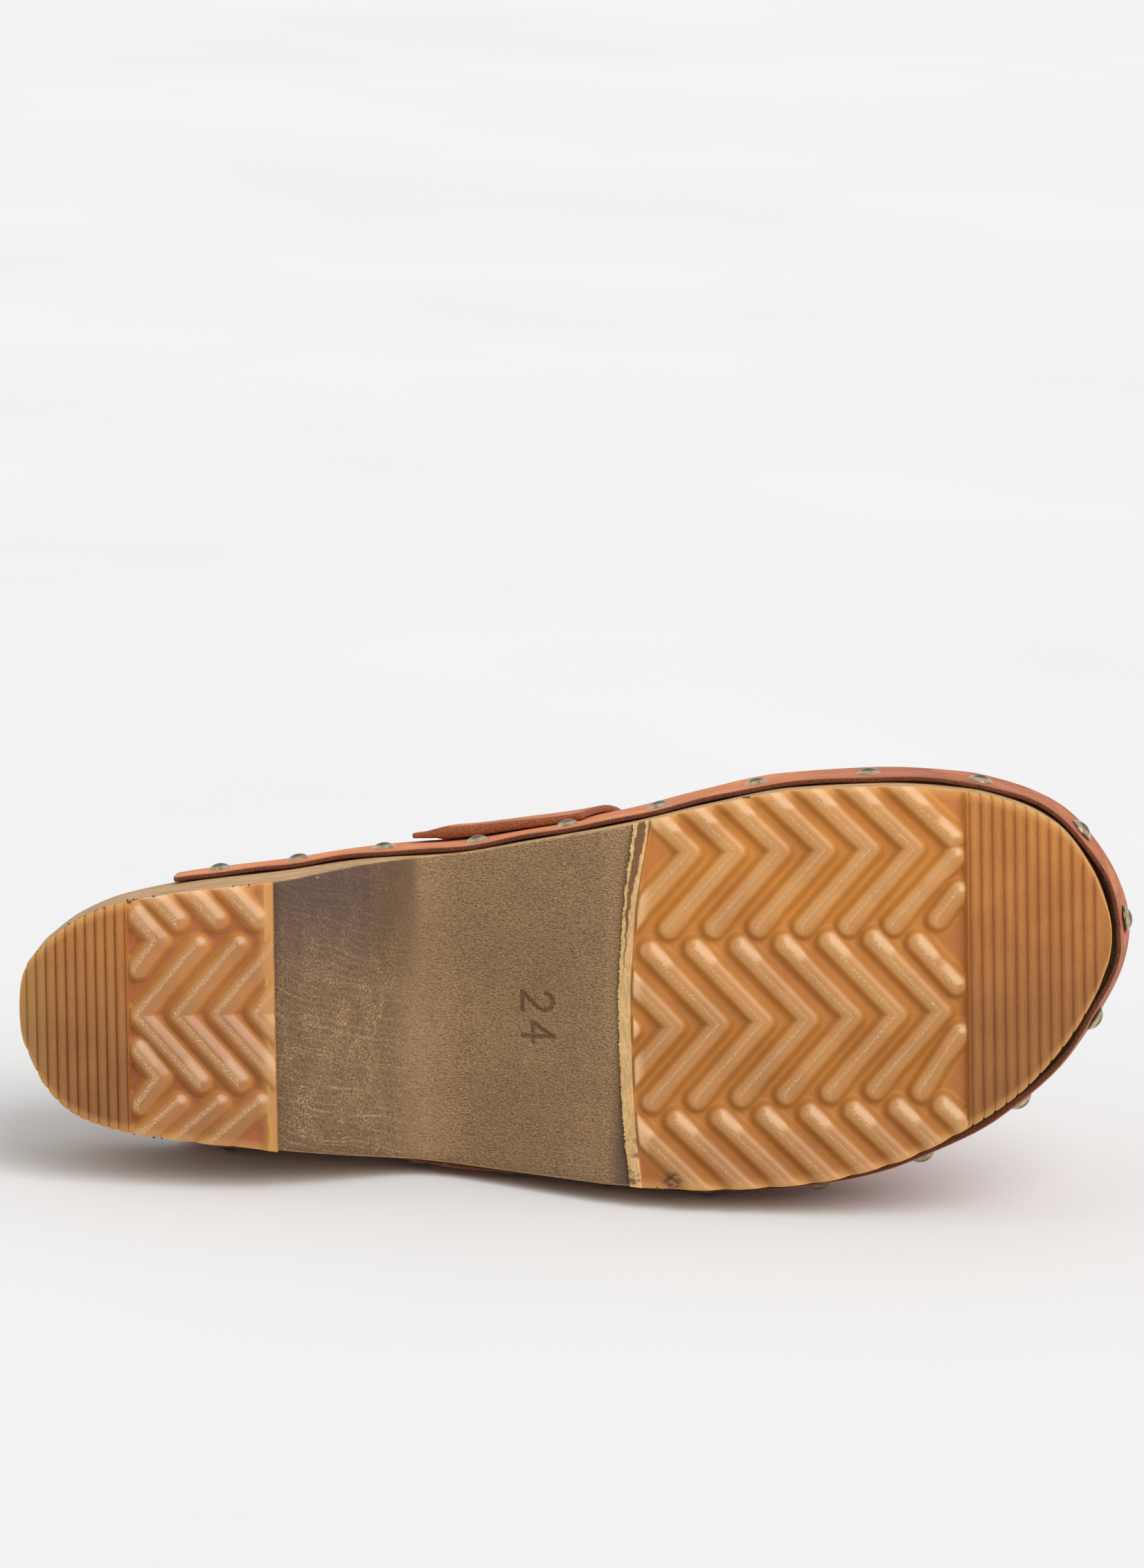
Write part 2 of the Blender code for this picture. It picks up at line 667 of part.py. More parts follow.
def make_strap(collection):
    """The broad band across the instep, with free ends above the nails."""
    shares = [i / STRAP_STEPS_ACROSS for i in range(STRAP_STEPS_ACROSS + 1)]
    places = [(INNER, STRAP_END[INNER] * share) for share in reversed(shares)]
    places += [(OUTER, STRAP_END[OUTER] * share) for share in shares[1:]]
    rows = []
    for j in range(STRAP_STEPS_ALONG + 1):
        along = j / STRAP_STEPS_ALONG
        rows.append([strap_point(side, max(place, 0.001), along) for side, place in places])
    made = mesh_object("strap", skin_grid(rows, False), collection)
    add_wall(made, STRAP_THICKNESS)
    return made


# Studs


def stud_mesh():
    """Half profile of a domed nail head, from its crown down the outside and back to the axis."""
    radius = STUD_DIAMETER / 2.0
    sphere = (radius ** 2 + STUD_HEIGHT ** 2) / (2.0 * STUD_HEIGHT)
    half_angle = math.asin(radius / sphere)
    profile = []
    for i in range(STUD_ARC_STEPS + 1):
        angle = half_angle * i / STUD_ARC_STEPS
        profile.append((sphere * math.sin(angle), 0.0, sphere * math.cos(angle) - sphere + STUD_HEIGHT))
    profile.append((0.0, 0.0, 0.0))
    mesh = bpy.data.meshes.new("stud")
    points = [tuple(MILLIMETRE * c for c in point) for point in profile]
    mesh.from_pydata(points, [(i, i + 1) for i in range(len(points) - 1)], [])
    return mesh


def make_studs(collection):
    """Nail heads along the lower edge of the upper."""
    mesh = stud_mesh()
    made = []
    for number, (side, x) in enumerate(STUD_ROWS, start=1):
        place = 2.0 - STUD_ABOVE_EDGE / SKIRT_HEIGHT
        front = (turn_of(x) - turn_of(WING_BACK)) / (1.0 - turn_of(WING_BACK))
        outward = upper_normal(front, side, place)
        seat = upper_point(front, side, place) + outward * (LEATHER + GAP)
        stud = bpy.data.objects.new(f"stud_{number:02d}", mesh)
        stud.location = seat * MILLIMETRE
        stud.rotation_euler = outward.to_track_quat("Z", "X").to_euler()
        turned = stud.modifiers.new("turned", "SCREW")
        turned.axis = "Z"
        turned.steps = STUD_SEGMENTS
        turned.render_steps = STUD_SEGMENTS
        turned.use_merge_vertices = True
        turned.merge_threshold = 0.00001
        collection.objects.link(stud)
        made.append(stud)
    return made


# Assembly


def lay_down(pieces, cutters, collection):
    """Parent every piece to an empty that lays the shoe on its outer side, on the floor and centred."""
    rest = bpy.data.objects.new("lying_shoe", None)
    collection.objects.link(rest)
    rest.rotation_mode = "ZYX"
    rest.rotation_euler = Euler((math.radians(LIE_ROLL_DEGREES), 0.0, math.radians(LIE_SWING_DEGREES)), "ZYX")
    for piece in (*pieces, *cutters):
        piece.parent = rest
    bpy.context.view_layer.update()
    graph = bpy.context.evaluated_depsgraph_get()
    corners = []
    for piece in pieces:
        shown = piece.evaluated_get(graph)
        corners += [shown.matrix_world @ vertex.co for vertex in shown.data.vertices]
    low = [min(corner[axis] for corner in corners) for axis in range(3)]
    high = [max(corner[axis] for corner in corners) for axis in range(3)]
    rest.location = (-(low[0] + high[0]) / 2.0, -(low[1] + high[1]) / 2.0, -low[2])


def main():
    """Build the clog."""
    for old in list(bpy.data.objects):
        bpy.data.objects.remove(old)
    clog = bpy.data.collections.new("heeled_clog")
    cutters = bpy.data.collections.new("cutters")
    bpy.context.scene.collection.children.link(clog)
    bpy.context.scene.collection.children.link(cutters)
    wood = make_wood_sole(clog)
    pads = [make_heel_pad(clog, cutters), make_fore_pad(clog, cutters)]
    upper = make_upper(clog)
    strap = make_strap(clog)
    studs = make_studs(clog)
    for cutter in cutters.objects:
        cutter.hide_render = True
        cutter.display_type = "WIRE"
    looks = (
        ([wood], material("wood", (0.36, 0.27, 0.17), 0.7)),
        (pads, material("gum_rubber", (0.62, 0.33, 0.11), 0.35)),
        ([upper], material("tan_leather", (0.52, 0.19, 0.08), 0.75)),
        ([strap], material("brown_leather", (0.26, 0.09, 0.04), 0.75)),
    )
    for pieces, look in looks:
        for piece in pieces:
            piece.data.materials.append(look)
    studs[0].data.materials.append(material("aged_brass", (0.30, 0.27, 0.22), 0.35, 1.0))
    lay_down([wood, *pads, upper, strap, *studs], cutters.objects, clog)


main()
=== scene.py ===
"""Looks of a left heeled clog that lies on its outer side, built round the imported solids."""
import math

import bmesh
import bpy
import numpy as np
from mathutils import Euler, Matrix, Vector, noise


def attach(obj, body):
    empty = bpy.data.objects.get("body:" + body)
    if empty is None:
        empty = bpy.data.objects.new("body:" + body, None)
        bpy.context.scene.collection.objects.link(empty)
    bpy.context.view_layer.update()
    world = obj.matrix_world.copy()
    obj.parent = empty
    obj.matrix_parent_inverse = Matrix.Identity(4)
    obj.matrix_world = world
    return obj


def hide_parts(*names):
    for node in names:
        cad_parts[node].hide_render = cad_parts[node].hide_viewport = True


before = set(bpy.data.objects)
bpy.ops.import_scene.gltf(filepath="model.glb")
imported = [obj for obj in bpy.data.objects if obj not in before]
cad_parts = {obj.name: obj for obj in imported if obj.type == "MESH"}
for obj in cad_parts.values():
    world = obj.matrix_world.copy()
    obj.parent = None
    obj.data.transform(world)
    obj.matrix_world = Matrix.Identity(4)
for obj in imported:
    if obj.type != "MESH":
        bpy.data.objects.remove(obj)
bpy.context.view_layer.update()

# The shoe's own frame: x runs from the heel to the toe, y to the outer side of the foot, z up from the
# tread. Sizes are in millimetres until a mesh is made.
MILLIMETRE = 0.001
INNER = -1
OUTER = 1
FAR_OFF = 99.0

# Lying position of the shoe in the room
LIE_SWING_DEGREES = -3.375
LIE_ROLL_DEGREES = -96.606
LIE_PLACE = (-128.871, -49.216, 38.371)

# Main sizes
LENGTH = 253.2
GAP = 0.3
LEATHER = 1.4
STRAP_THICKNESS = 2.8
SKIRT_HEIGHT = 14.0
PAD_THICKNESS = 4.5
TREAD_DEPTH = 2.2
TOE_SPRING = 8.0
SPRING_START = 185.0
BED_FULL_WIDTH = 45.0

# Edge of the tread seen from above
OUTLINE_COLUMNS = ("x", "inner_y", "outer_y")
OUTLINE_ROWS = (
    (0.0, -2.4, -2.4),
    (0.3, -7.6, 2.8),
    (2.1, -13.2, 8.4),
    (5.6, -16.9, 15.5),
    (12.0, -21.9, 22.0),
    (21.5, -26.0, 25.9),
    (36.0, -28.5, 28.6),
    (59.0, -30.8, 31.8),
    (80.0, -33.6, 35.2),
    (100.0, -35.0, 38.0),
    (120.0, -38.6, 39.8),
    (142.0, -42.8, 41.5),
    (160.0, -46.9, 42.2),
    (180.0, -50.2, 41.3),
    (200.0, -50.8, 37.2),
    (220.0, -49.1, 28.4),
    (231.0, -46.1, 21.3),
    (241.0, -40.6, 11.3),
    (249.0, -30.0, -0.7),
    (252.4, -21.2, -8.8),
    (253.2, -15.0, -15.0),
)

# Top edge of the wood: its height, how far it stands outside the tread, how round it is, and how deep the
# footbed lies below it
RIM_COLUMNS = ("x", "rim_z", "inner_flare", "outer_flare", "rounding", "bed_depth")
RIM_ROWS = (
    (0.0, 50.0, 0.3, 0.3, 7.0, 5.0),
    (20.0, 50.0, -0.8, 2.0, 7.0, 5.0),
    (46.0, 49.3, -0.2, 3.3, 3.5, 5.0),
    (65.0, 47.3, 0.0, 1.2, 2.5, 4.8),
    (84.0, 43.8, 0.2, -0.6, 2.5, 4.5),
    (106.0, 37.9, 0.0, -1.5, 2.5, 4.0),
    (127.0, 31.8, -0.4, -1.4, 2.5, 3.6),
    (149.0, 27.0, -0.5, -0.1, 2.5, 3.2),
    (171.0, 24.9, 0.0, 0.5, 2.5, 3.0),
    (197.0, 24.9, 0.5, 0.9, 2.5, 2.8),
    (223.0, 26.6, 0.9, 1.4, 2.5, 2.6),
    (253.2, 29.6, 1.5, 1.5, 2.5, 2.4),
)

# Underside of the wood above the plane of the pads
ARCH_COLUMNS = ("x", "rise")
ARCH_ROWS = (
    (-5.0, 0.0),
    (59.5, 0.0),
    (62.0, 0.8),
    (86.0, 16.6),
    (90.0, 18.9),
    (94.5, 19.8),
    (99.0, 19.3),
    (105.0, 16.9),
    (128.0, 4.3),
    (132.0, 2.2),
    (137.0, 0.0),
    (260.0, 0.0),
)

# Stamped size number in the shank: middle of the pair, size of a figure, its cut, and the shares across
# the sole between which the mesh follows it closely
STAMP_X = 119.6
STAMP_Y = 2.6
FIGURE_HEIGHT = 7.2
FIGURE_WIDTH = 5.0
FIGURE_PITCH = 7.2
STAMP_CUT_WIDTH = 0.72
STAMP_CUT_DEPTH = 0.6
STAMP_SHARES = (0.385, 0.66)
STAMP_SHARE_STEP = 0.003

# Marks on the underside of the wood: lean of its saw hatch and of its pores, the shift that paints a lit
# and a shaded side on each pore (painted light and shade), growth rings with their spacing and width,
# orange flecks and a dark smear
HATCH_LEAN_DEGREES = -28.0
FLECK_LEAN_DEGREES = 11.0
PORE_LIT_OFFSET = (0.2, -0.4, 0.0)
RING_WARP = 7.0
RING_LEAN = 0.33
BROAD_RING = (6.3, 0.34)
NARROW_RING = (1.9, 0.3)
FLECK_COLUMNS = ("x", "y", "radius")
FLECK_ROWS = ((69.1, -31.2, 0.4), (73.2, 2.7, 0.4), (128.9, 28.5, 0.45))
SMEAR_PLACE = (78.8, -34.2)
SMEAR_RADIUS = 1.6

# Where marks of the wood fade, from none to full: along the shoe, across it for a side, or up for a height
BREAST_FADE = (93.0, 84.0)
STAIN_EDGE = (80.6, 81.8)
STAIN_SIDE = (4.0, -34.0)
DAMP_FADE = (94.0, 90.0)
# Pale band of painted light over the top of the arch's valley: where it starts and where it ends
VALLEY_START = (92.0, 95.0)
VALLEY_END = (103.0, 99.0)
# Painted shadow of the forefoot pad on the wood beside it: along the shoe and across it
PAD_SHADOW = (134.5, 138.5)
PAD_SHADOW_SIDE = (6.0, 34.0)
GLUE_HEIGHT = (6.4, 5.2)
GLUE_FADE = (62.0, 59.0)

# Colours of the wood, in display values
WOOD_LOOK = {
    "white": (255, 255, 255),
    # Pores and sanded wood; the texture between them carries the pores' painted lit and shaded sides
    "pore": (102, 76, 50),
    "sanded": (177, 145, 108),
    "clean": (255, 252, 246),
    "clouded": (236, 231, 226),
    # Painted shade, laid over the heel's breast
    "breast": (214, 212, 214),
    # Pale growth rings; also the colour of the painted glints on the breast
    "ring": (188, 158, 114),
    "stain": (78, 58, 57),
    "damp": (88, 66, 46),
    # Painted shadow beside the forefoot pad
    "pad_shadow": (72, 50, 46),
    # Painted light on the top of the arch's valley
    "valley_light": (150, 112, 82),
    "fleck": (196, 112, 70),
    "smear": (44, 44, 56),
    # Painted shade in the stamped cut
    "stamped": (66, 46, 30),
    "wall_dark": (160, 122, 82),
    "wall_light": (204, 165, 118),
    "wall_line": (132, 97, 62),
    "glue": (140, 104, 98),
    "footbed_dark": (176, 134, 90),
    "footbed_light": (212, 172, 124),
}

# Brown dirt pressed into the rubber at the forefoot pad's outer back corner
DIRT_PLACE = (150.2, 40.0)
DIRT_RADIUS = 3.0

# Both pads: how their edges are rounded, and the points of their meshes across and along them
PAD_WIDTH = {"heel": 62.0, "fore": 92.0}
PAD_EDGE_ROUNDING = 0.25
PAD_EDGE_WIDTH = 0.7
PAD_EDGE_COLUMNS = (0.0, 0.15, 0.4, 0.8)
PAD_INNER_COLUMN = 1.3
PAD_COLUMN_PITCH = 0.37
PAD_ROW_PITCH = {"heel": 0.4, "fore": 0.37}

# Heel pad: its straight front edge, and the border behind that with its ridge, waver and drips.
# A size, here and below, is the width of the waves.
HEEL_PAD_FRONT = 59.0
HEEL_BORDER = 1.9
HEEL_BORDER_RISE = 1.0
HEEL_RIDGE = 0.35
HEEL_RIDGE_HALF = 0.32
HEEL_BORDER_SLOPE = 2.4
HEEL_WAVER = 0.4
HEEL_WAVER_SIZE = 5.0
HEEL_DRIP = 0.5
HEEL_DRIP_SIZE = 3.4
HEEL_DRIP_LENGTH = 3.0

# Forefoot pad: its bowed back edge, which is skived, torn and rough
FORE_PAD_BACK_COLUMNS = ("y", "x")
FORE_PAD_BACK_ROWS = ((-43.0, 142.6), (-22.0, 139.8), (0.0, 138.4), (21.0, 138.8), (41.0, 140.4))
SKIVE_LENGTH = 2.8
SKIVE_LENGTH_INNER = 3.6
SKIVE_EDGE = 0.9
SKIVE_INNER_FADE = (-42.0, -20.0)
SKIVE_BOW_FADE = 12.0
SKIVE_TEAR = 0.45
SKIVE_TEAR_SIZE = 0.5
SKIVE_WAVER = 0.3
SKIVE_WAVER_SIZE = 2.6
SKIVE_ROUGHNESS = 0.16
SKIVE_ROUGHNESS_SIZE = 0.9

# Ribs: depth and width of their grooves, how crowned they are, how far each groove notches the pad's edge,
# and where the rows of the mesh lie about a groove
RIB_GROOVE_DEPTH = {"heel": 0.24, "fore": 0.15}
RIB_GROOVE_HALF = 0.2
RIB_CROWN = {"heel": 0.24, "fore": 0.18}
RIB_NOTCH = 0.4
RIB_ROW_OFFSETS = (-1.0, -0.65, -0.42, -0.24, -0.1, 0.0, 0.1, 0.24, 0.42, 0.65, 1.0)
RIB_COLUMNS = ("pad", "first_x", "pitch", "count")
RIB_ROWS = (
    ("heel", 24.6, -2.3, 11),
    ("fore", 220.0, 2.65, 12),
)

# Tread lugs: each row is a run of bars or chevrons, a corner with one or two arms.
# Behind its crest a lug has a beaded band, before it a facet. A facet has two values: along the arm, and at
# a free end. A slope is the share of the tread's depth that it falls in a millimetre. The slant is the way
# along an arm for a millimetre sideways, and the far distance stands where no lug is near.
LUG_BASE_HALF = {"heel": 3.3, "fore": 3.5}
LUG_BAND_HALF = {"heel": 1.1, "fore": 1.1}
LUG_BAND_SLOPE = 0.05
LUG_FACET_HALF = {"heel": (1.8, 1.8), "fore": (0.7, 1.7)}
LUG_FACET_SLOPE = {"heel": (0.18, 0.18), "fore": (0.09, 0.18)}
LUG_END_LENGTH = (1.5, 7.5)
# Lit tips of the lugs, where a highlight is painted: length from a free end, how squarely a facet faces the
# light, and half width
LUG_HIGHLIGHT_LENGTH = (4.5, 6.5)
LUG_HIGHLIGHT_FACING = (0.9, 1.35)
LUG_HIGHLIGHT_HALF = (1.5, 2.3)
LUG_CREST_ROUNDING = 0.5
LUG_SLANT = 1.4
LUG_FAR = 9.0
LUG_COLUMNS = ("pad", "x", "y", "pitch_x", "pitch_y", "count", "first_arm", "second_arm")
LUG_ROWS = (
    ("heel", 27.6, -0.6, 9.2, 0.0, 4, (13.8, -15.8), (13.8, 15.8)),
    ("heel", 32.3, -17.9, 0.0, 0.0, 1, (-5.0, -6.0), (-5.0, 6.4)),
    ("heel", 32.2, 14.0, 0.0, 0.0, 1, (-5.0, -6.6), (-5.0, 6.2)),
    ("heel", 36.7, -22.5, 9.2, 0.0, 3, (-9.0, -10.0), None),
    ("heel", 36.3, 20.2, 9.3, 0.1, 3, (-12.0, 10.0), None),
    ("fore", 156.0, -36.4, 10.35, 0.0, 6, (-24.0, -24.0), (-16.0, 17.6)),
    ("fore", 216.4, -38.6, 0.0, 0.0, 1, (-20.0, -20.0), None),
    ("fore", 216.7, -34.4, 0.0, 0.0, 1, (-14.5, 15.6), None),
    ("fore", 217.4, -26.1, 0.0, 0.0, 1, (-4.8, 6.2), None),
    ("fore", 141.4, 4.4, 10.3, -0.4, 8, (-16.0, -17.2), (-16.0, 17.8)),
    ("fore", 216.6, -4.5, 0.0, 0.0, 1, (-8.8, -10.0), None),
    ("fore", 217.2, 6.8, 0.0, 0.0, 1, (-9.0, 13.2), None),
    ("fore", 141.0, 26.2, 10.3, -0.4, 8, (24.0, 24.0), None),
)

# Where marks of the rubber fade along the shoe, from none to full
HEEL_FRONT_LINE = (58.55, 58.95)
HEEL_FRONT_LINE_END = (64.0, 60.0)
HEEL_BACK_FADE = (11.0, 1.0)

# Rubber of each pad: its colours, the strength of the highlight painted on the lugs' tips, the beaded
# band's strength (which also sets its painted sparkle) and width, and polish; then the colours that both
# pads share, and those of the skived edge
RUBBER_LOOK = {
    "heel": {
        "floor": (178, 106, 54),
        "groove": (180, 110, 56),
        # Lightened as painted glow that lifts the shade on the lug flanks
        "side": (192, 132, 64),
        "crest": (182, 126, 66),
        "rib": (162, 102, 38),
        "ridge": (178, 120, 54),
        "tip": 0.2,
        "beading": 0.95,
        "band": 1.2,
        "roughness": 0.26,
    },
    "fore": {
        "floor": (190, 122, 50),
        # Round the lugs' bases and on their flanks: lightened as painted glow that lifts the shade there
        "groove": (206, 138, 58),
        "side": (188, 126, 46),
        "crest": (198, 143, 74),
        "rib": (162, 97, 25),
        "ridge": (184, 121, 46),
        "tip": 0.4,
        "beading": 0.75,
        "band": 0.8,
        "roughness": 0.42,
    },
}
RUBBER_SHARED_LOOK = {
    "white": (255, 255, 255),
    "clear": (255, 252, 246),
    "clouded": (238, 228, 214),
    "outer_shade": (230, 226, 222),
    # Painted sparkle on the ribs, and painted shade in their grooves
    "rib_glint": (206, 170, 112),
    "rib_groove_shade": (140, 74, 26),
    "rib_shade": (228, 228, 228),
    # Painted sparkle on the beaded band and on its beads
    "band_glint": (192, 154, 100),
    "bead_glint": (236, 212, 172),
    "crest_line": (132, 76, 38),
    # Painted highlight on the lugs' tips; also the pale rubber where the skive cuts through a lug
    "highlight_and_cut_pale": (232, 196, 150),
    "glow": (204, 156, 88),
    "front_line": (120, 62, 34),
    "heel_back": (150, 120, 62),
    "skive_seam": (116, 66, 32),
    "dirt": (86, 46, 22),
    "grime": (92, 50, 24),
}
SKIVE_LOOK = {"dark": (208, 166, 108), "light": (226, 190, 132), "glue": (100, 52, 22)}

# Upper: wings that end beside the heel, an open throat over the instep and a round closed toe
WING_BACK = 34.6
THROAT_X = 105.0
TOE_POLE_X = 206.0
TOE_STAND_OFF = 2.0
STAND_OFF_START = {INNER: 0.72, OUTER: 0.48}
TOE_BULGE = 2.0
TOPLINE_SWEEP = 1.25
CROWN_BACK = 2.1
CROWN_TOE = 2.5
SIDE_FULLNESS_BACK = {INNER: 2.0, OUTER: 1.05}
SIDE_FULLNESS_TOE = 2.4
SPINE_COLUMNS = ("x", "y", "z")
SPINE_ROWS = (
    (95.0, -6.0, 103.0),
    (105.0, -6.2, 99.5),
    (125.0, -6.8, 91.5),
    (150.0, -8.0, 80.5),
    (180.0, -9.8, 67.5),
    (206.0, -12.0, 57.5),
    (256.0, -15.0, 41.0),
)

# Soft folds of the leather: where they start and end on the upper, their half width and height
FOLD_COLUMNS = ("side", "front", "lean", "place_from", "place_to", "half_width", "height")
FOLD_ROWS = (
    (INNER, 0.44, 0.10, -0.30, 0.85, 0.024, -1.7),
    (INNER, 0.49, 0.09, -0.30, 0.75, 0.022, 1.0),
    (INNER, 0.54, 0.07, -0.30, 0.60, 0.020, -1.2),
    (OUTER, 0.44, 0.06, -0.30, 0.80, 0.024, -1.7),
    (OUTER, 0.49, 0.05, -0.30, 0.70, 0.022, 1.0),
    (OUTER, 0.54, 0.05, -0.30, 0.55, 0.020, -1.2),
    (INNER, 0.13, 0.06, 0.45, 0.95, 0.026, -0.6),
    (OUTER, 0.18, 0.05, 0.40, 0.95, 0.026, -0.6),
)
FOLD_BEND = 0.2
FOLD_FADE_IN = 0.2
FOLD_FADE_OUT = 0.25

# How far the leather stands out between its nails, and how far its lower edge is tucked in at the toe.
# The ranges are shares of the way to the toe or, for down, places from the spine to the lower edge.
SCALLOP_SIDE = 0.25
SCALLOP_TOE = 0.55
SCALLOP_ENDS = {INNER: (-0.05, 1.0), OUTER: (-0.05, 1.03)}
SCALLOP_GROWTH = (0.5, 0.85)
SCALLOP_FADE = (0.97, 1.0)
SCALLOP_DOWN = (0.9, 2.0)
TOE_TUCK = 1.0
TUCK_ALONG = (0.7, 0.95)
TUCK_DOWN = (1.2, 2.0)

# Rough length of the leather from the rim to the spine, and the points along and across each half of it
INSTEP_SPAN = 60.0
FRONT_POINTS = 171
SKIRT_POINTS = 11
ARCH_POINTS = 41

# Cut edges of the leather: how far they bulge for their half thickness, how frayed they are, and how thin
# the lower edge is
EDGE_BULGE = 0.6
FRAY = 0.16
FRAY_SIZE = 0.8
EDGE_THINNING = 0.72
EDGE_THINNING_HEIGHT = 3.5

# Strap across the instep, wider at its ends than on top, lifted at its inner back corner and thinned
# towards its front and along its back edge, but full from a share of the way to its outer end
STRAP_COLUMNS = ("place", "back_x", "front_x")
STRAP_ROWS = (
    (0.0, 112.0, 146.0),
    (0.5, 107.0, 143.5),
    (0.85, 95.0, 137.0),
    (1.0, 91.0, 131.0),
)
STRAP_END = {INNER: 1.0, OUTER: 0.72}
STRAP_LIFT = 0.9
STRAP_FRONT_THINNING = 0.6
STRAP_BEVEL = 0.45
STRAP_BEVEL_SHARE = 0.22
STRAP_FULL_FROM = (0.4, 0.75)
STRAP_ABOVE_EDGE = 40.0
STRAP_POINTS_ALONG = 41
STRAP_POINTS_ACROSS = 49

# Colours of the leathers, those that both share, and where dust starts and is full along the shoe
LEATHER_LOOK = {
    "tan_leather": {
        "light": (222, 139, 88),
        "dark": (202, 119, 72),
        "edge_light": (138, 72, 42),
        "edge_dark": (70, 34, 21),
    },
    "brown_leather": {
        "light": (206, 132, 90),
        "dark": (178, 104, 66),
        "edge_light": (182, 106, 64),
        "edge_dark": (118, 60, 32),
    },
}
LEATHER_SHARED_LOOK = {"dust": (146, 80, 53), "flesh_light": (214, 168, 122), "flesh_dark": (188, 138, 94)}
TOE_DUST = (160.0, 215.0)

# Nail heads along the upper's lower edge
STUD_DIAMETER = 6.3
STUD_HEIGHT = 1.7
STUD_ABOVE_EDGE = 5.6
STUD_SINK = 0.6
STUD_RINGS = 12
STUD_SEGMENTS = 40
STUD_COLUMNS = ("side", "x")
STUD_ROWS = (
    (INNER, 45.0),
    (INNER, 63.8),
    (INNER, 84.0),
    (INNER, 106.3),
    (INNER, 127.5),
    (INNER, 149.0),
    (INNER, 171.8),
    (INNER, 197.6),
    (INNER, 223.2),
    (INNER, 244.8),
    (INNER, 253.1),
    (OUTER, 246.5),
    (OUTER, 230.3),
    (OUTER, 208.2),
    (OUTER, 184.4),
    (OUTER, 158.6),
    (OUTER, 135.5),
    (OUTER, 112.7),
    (OUTER, 91.0),
    (OUTER, 70.5),
    (OUTER, 46.5),
)

# Plating: bright and tarnished metal, and the crown and rim colours, painted dark round a bright shoulder
# as reflection contrast; the rim's dark is also patina
PLATING_LOOK = {
    "bright": (218, 198, 164),
    "tarnished": (152, 132, 100),
    "crown": (82, 72, 56),
    "rim": (54, 45, 34),
}

# Glue and dirt crumbs on the pads' edges: the stretch along the edge, how many, and their largest size
CRUMB_COLUMNS = ("side", "from_x", "to_x", "count", "size")
CRUMB_ROWS = (
    (INNER, 1.0, 22.0, 14, 0.55),
    (INNER, 24.0, 34.0, 7, 0.6),
    (INNER, 48.0, 54.0, 4, 0.5),
    (OUTER, 1.0, 22.0, 12, 0.5),
    (OUTER, 24.0, 33.0, 7, 0.95),
    (OUTER, 38.0, 52.0, 12, 0.8),
    (INNER, 166.0, 171.0, 4, 0.8),
    (OUTER, 143.0, 152.0, 7, 0.6),
    (OUTER, 205.0, 232.0, 9, 0.55),
)
CRUMB_SEED = 7
CRUMB_OUTWARD = (-0.25, 0.12)
CRUMB_HEIGHT_SHARE = (0.25, 0.95)
CRUMB_SIZE_SHARE = (0.35, 1.0)
CRUMB_STRETCH = (0.8, 2.2)
CRUMB_WIDENING = (0.7, 1.2)
CRUMB_LUMPS = 0.5
CRUMB_LUMP_SIZE = 0.45
CRUMB_LOOK = {"light": (104, 74, 48), "dark": (46, 34, 26)}

# Camera, set against the sole: distance, lens, tilt towards the inner side and roll
PHOTO_WIDTH = 1652
PHOTO_HEIGHT = 2264
SENSOR_SIDE = 36.0
CAMERA_DISTANCE = 1600.0
PIXELS_PER_MILLIMETRE = 6.25
CAMERA_TILT_DEGREES = 4.0
CAMERA_ROLL_DEGREES = 0.9
HEEL_FRONT_POINT = (59.0, 0.0, 0.0)
HEEL_FRONT_PIXEL = (397.0, 1467.0)

# Studio: half the side of the floor in metres, its colours, and the lights
FLOOR_REACH = 14.0
FLOOR_LOOK = {"light": (225, 225, 225), "dark": (222, 222, 222)}
KEY_DIRECTION = (0.45, -0.55, 0.70)
KEY_STRENGTH = 2.0
KEY_WIDTH_DEGREES = 50.0
ROOM_STRENGTH = 0.76


def table_column(rows, columns, name):
    """One named column of a table."""
    index = columns.index(name)
    return [row[index] for row in rows]


def named_rows(rows, columns):
    """Rows of a table, each with its values by the names of their columns."""
    return [dict(zip(columns, row)) for row in rows]


def smooth_curve(places, values):
    """A smooth curve through the given values that never overshoots them."""
    places = np.array(places, dtype=float)
    values = np.array(values, dtype=float)
    runs = np.diff(places)
    rises = np.diff(values) / runs
    slopes = np.zeros(len(places))
    slopes[0] = rises[0]
    slopes[-1] = rises[-1]
    for i in range(1, len(places) - 1):
        if rises[i - 1] * rises[i] > 0.0:
            slopes[i] = 2.0 * rises[i - 1] * rises[i] / (rises[i - 1] + rises[i])

    def value(place):
        place = np.clip(np.asarray(place, dtype=float), places[0], places[-1])
        i = np.clip(np.searchsorted(places, place) - 1, 0, len(runs) - 1)
        s = (place - places[i]) / runs[i]
        start = (1.0 + 2.0 * s) * (1.0 - s) ** 2 * values[i] + s * (1.0 - s) ** 2 * runs[i] * slopes[i]
        end = s * s * (3.0 - 2.0 * s) * values[i + 1] + s * s * (s - 1.0) * runs[i] * slopes[i + 1]
        return start + end

    return value


def smooth_column(rows, columns, place_name, value_name):
    """A smooth curve through one column of a table, read along another."""
    return smooth_curve(table_column(rows, columns, place_name), table_column(rows, columns, value_name))


def smooth_step(value, low, high):
    """Soft change from 0 at low to 1 at high."""
    share = np.clip((value - low) / (high - low), 0.0, 1.0)
    return share * share * (3.0 - 2.0 * share)


def turn_of(x):
    """Station for a distance along the shoe: 0 at the heel's back, 1 at the toe, crowded at both ends."""
    return np.arccos(np.clip(1.0 - 2.0 * np.asarray(x, dtype=float) / LENGTH, -1.0, 1.0)) / math.pi


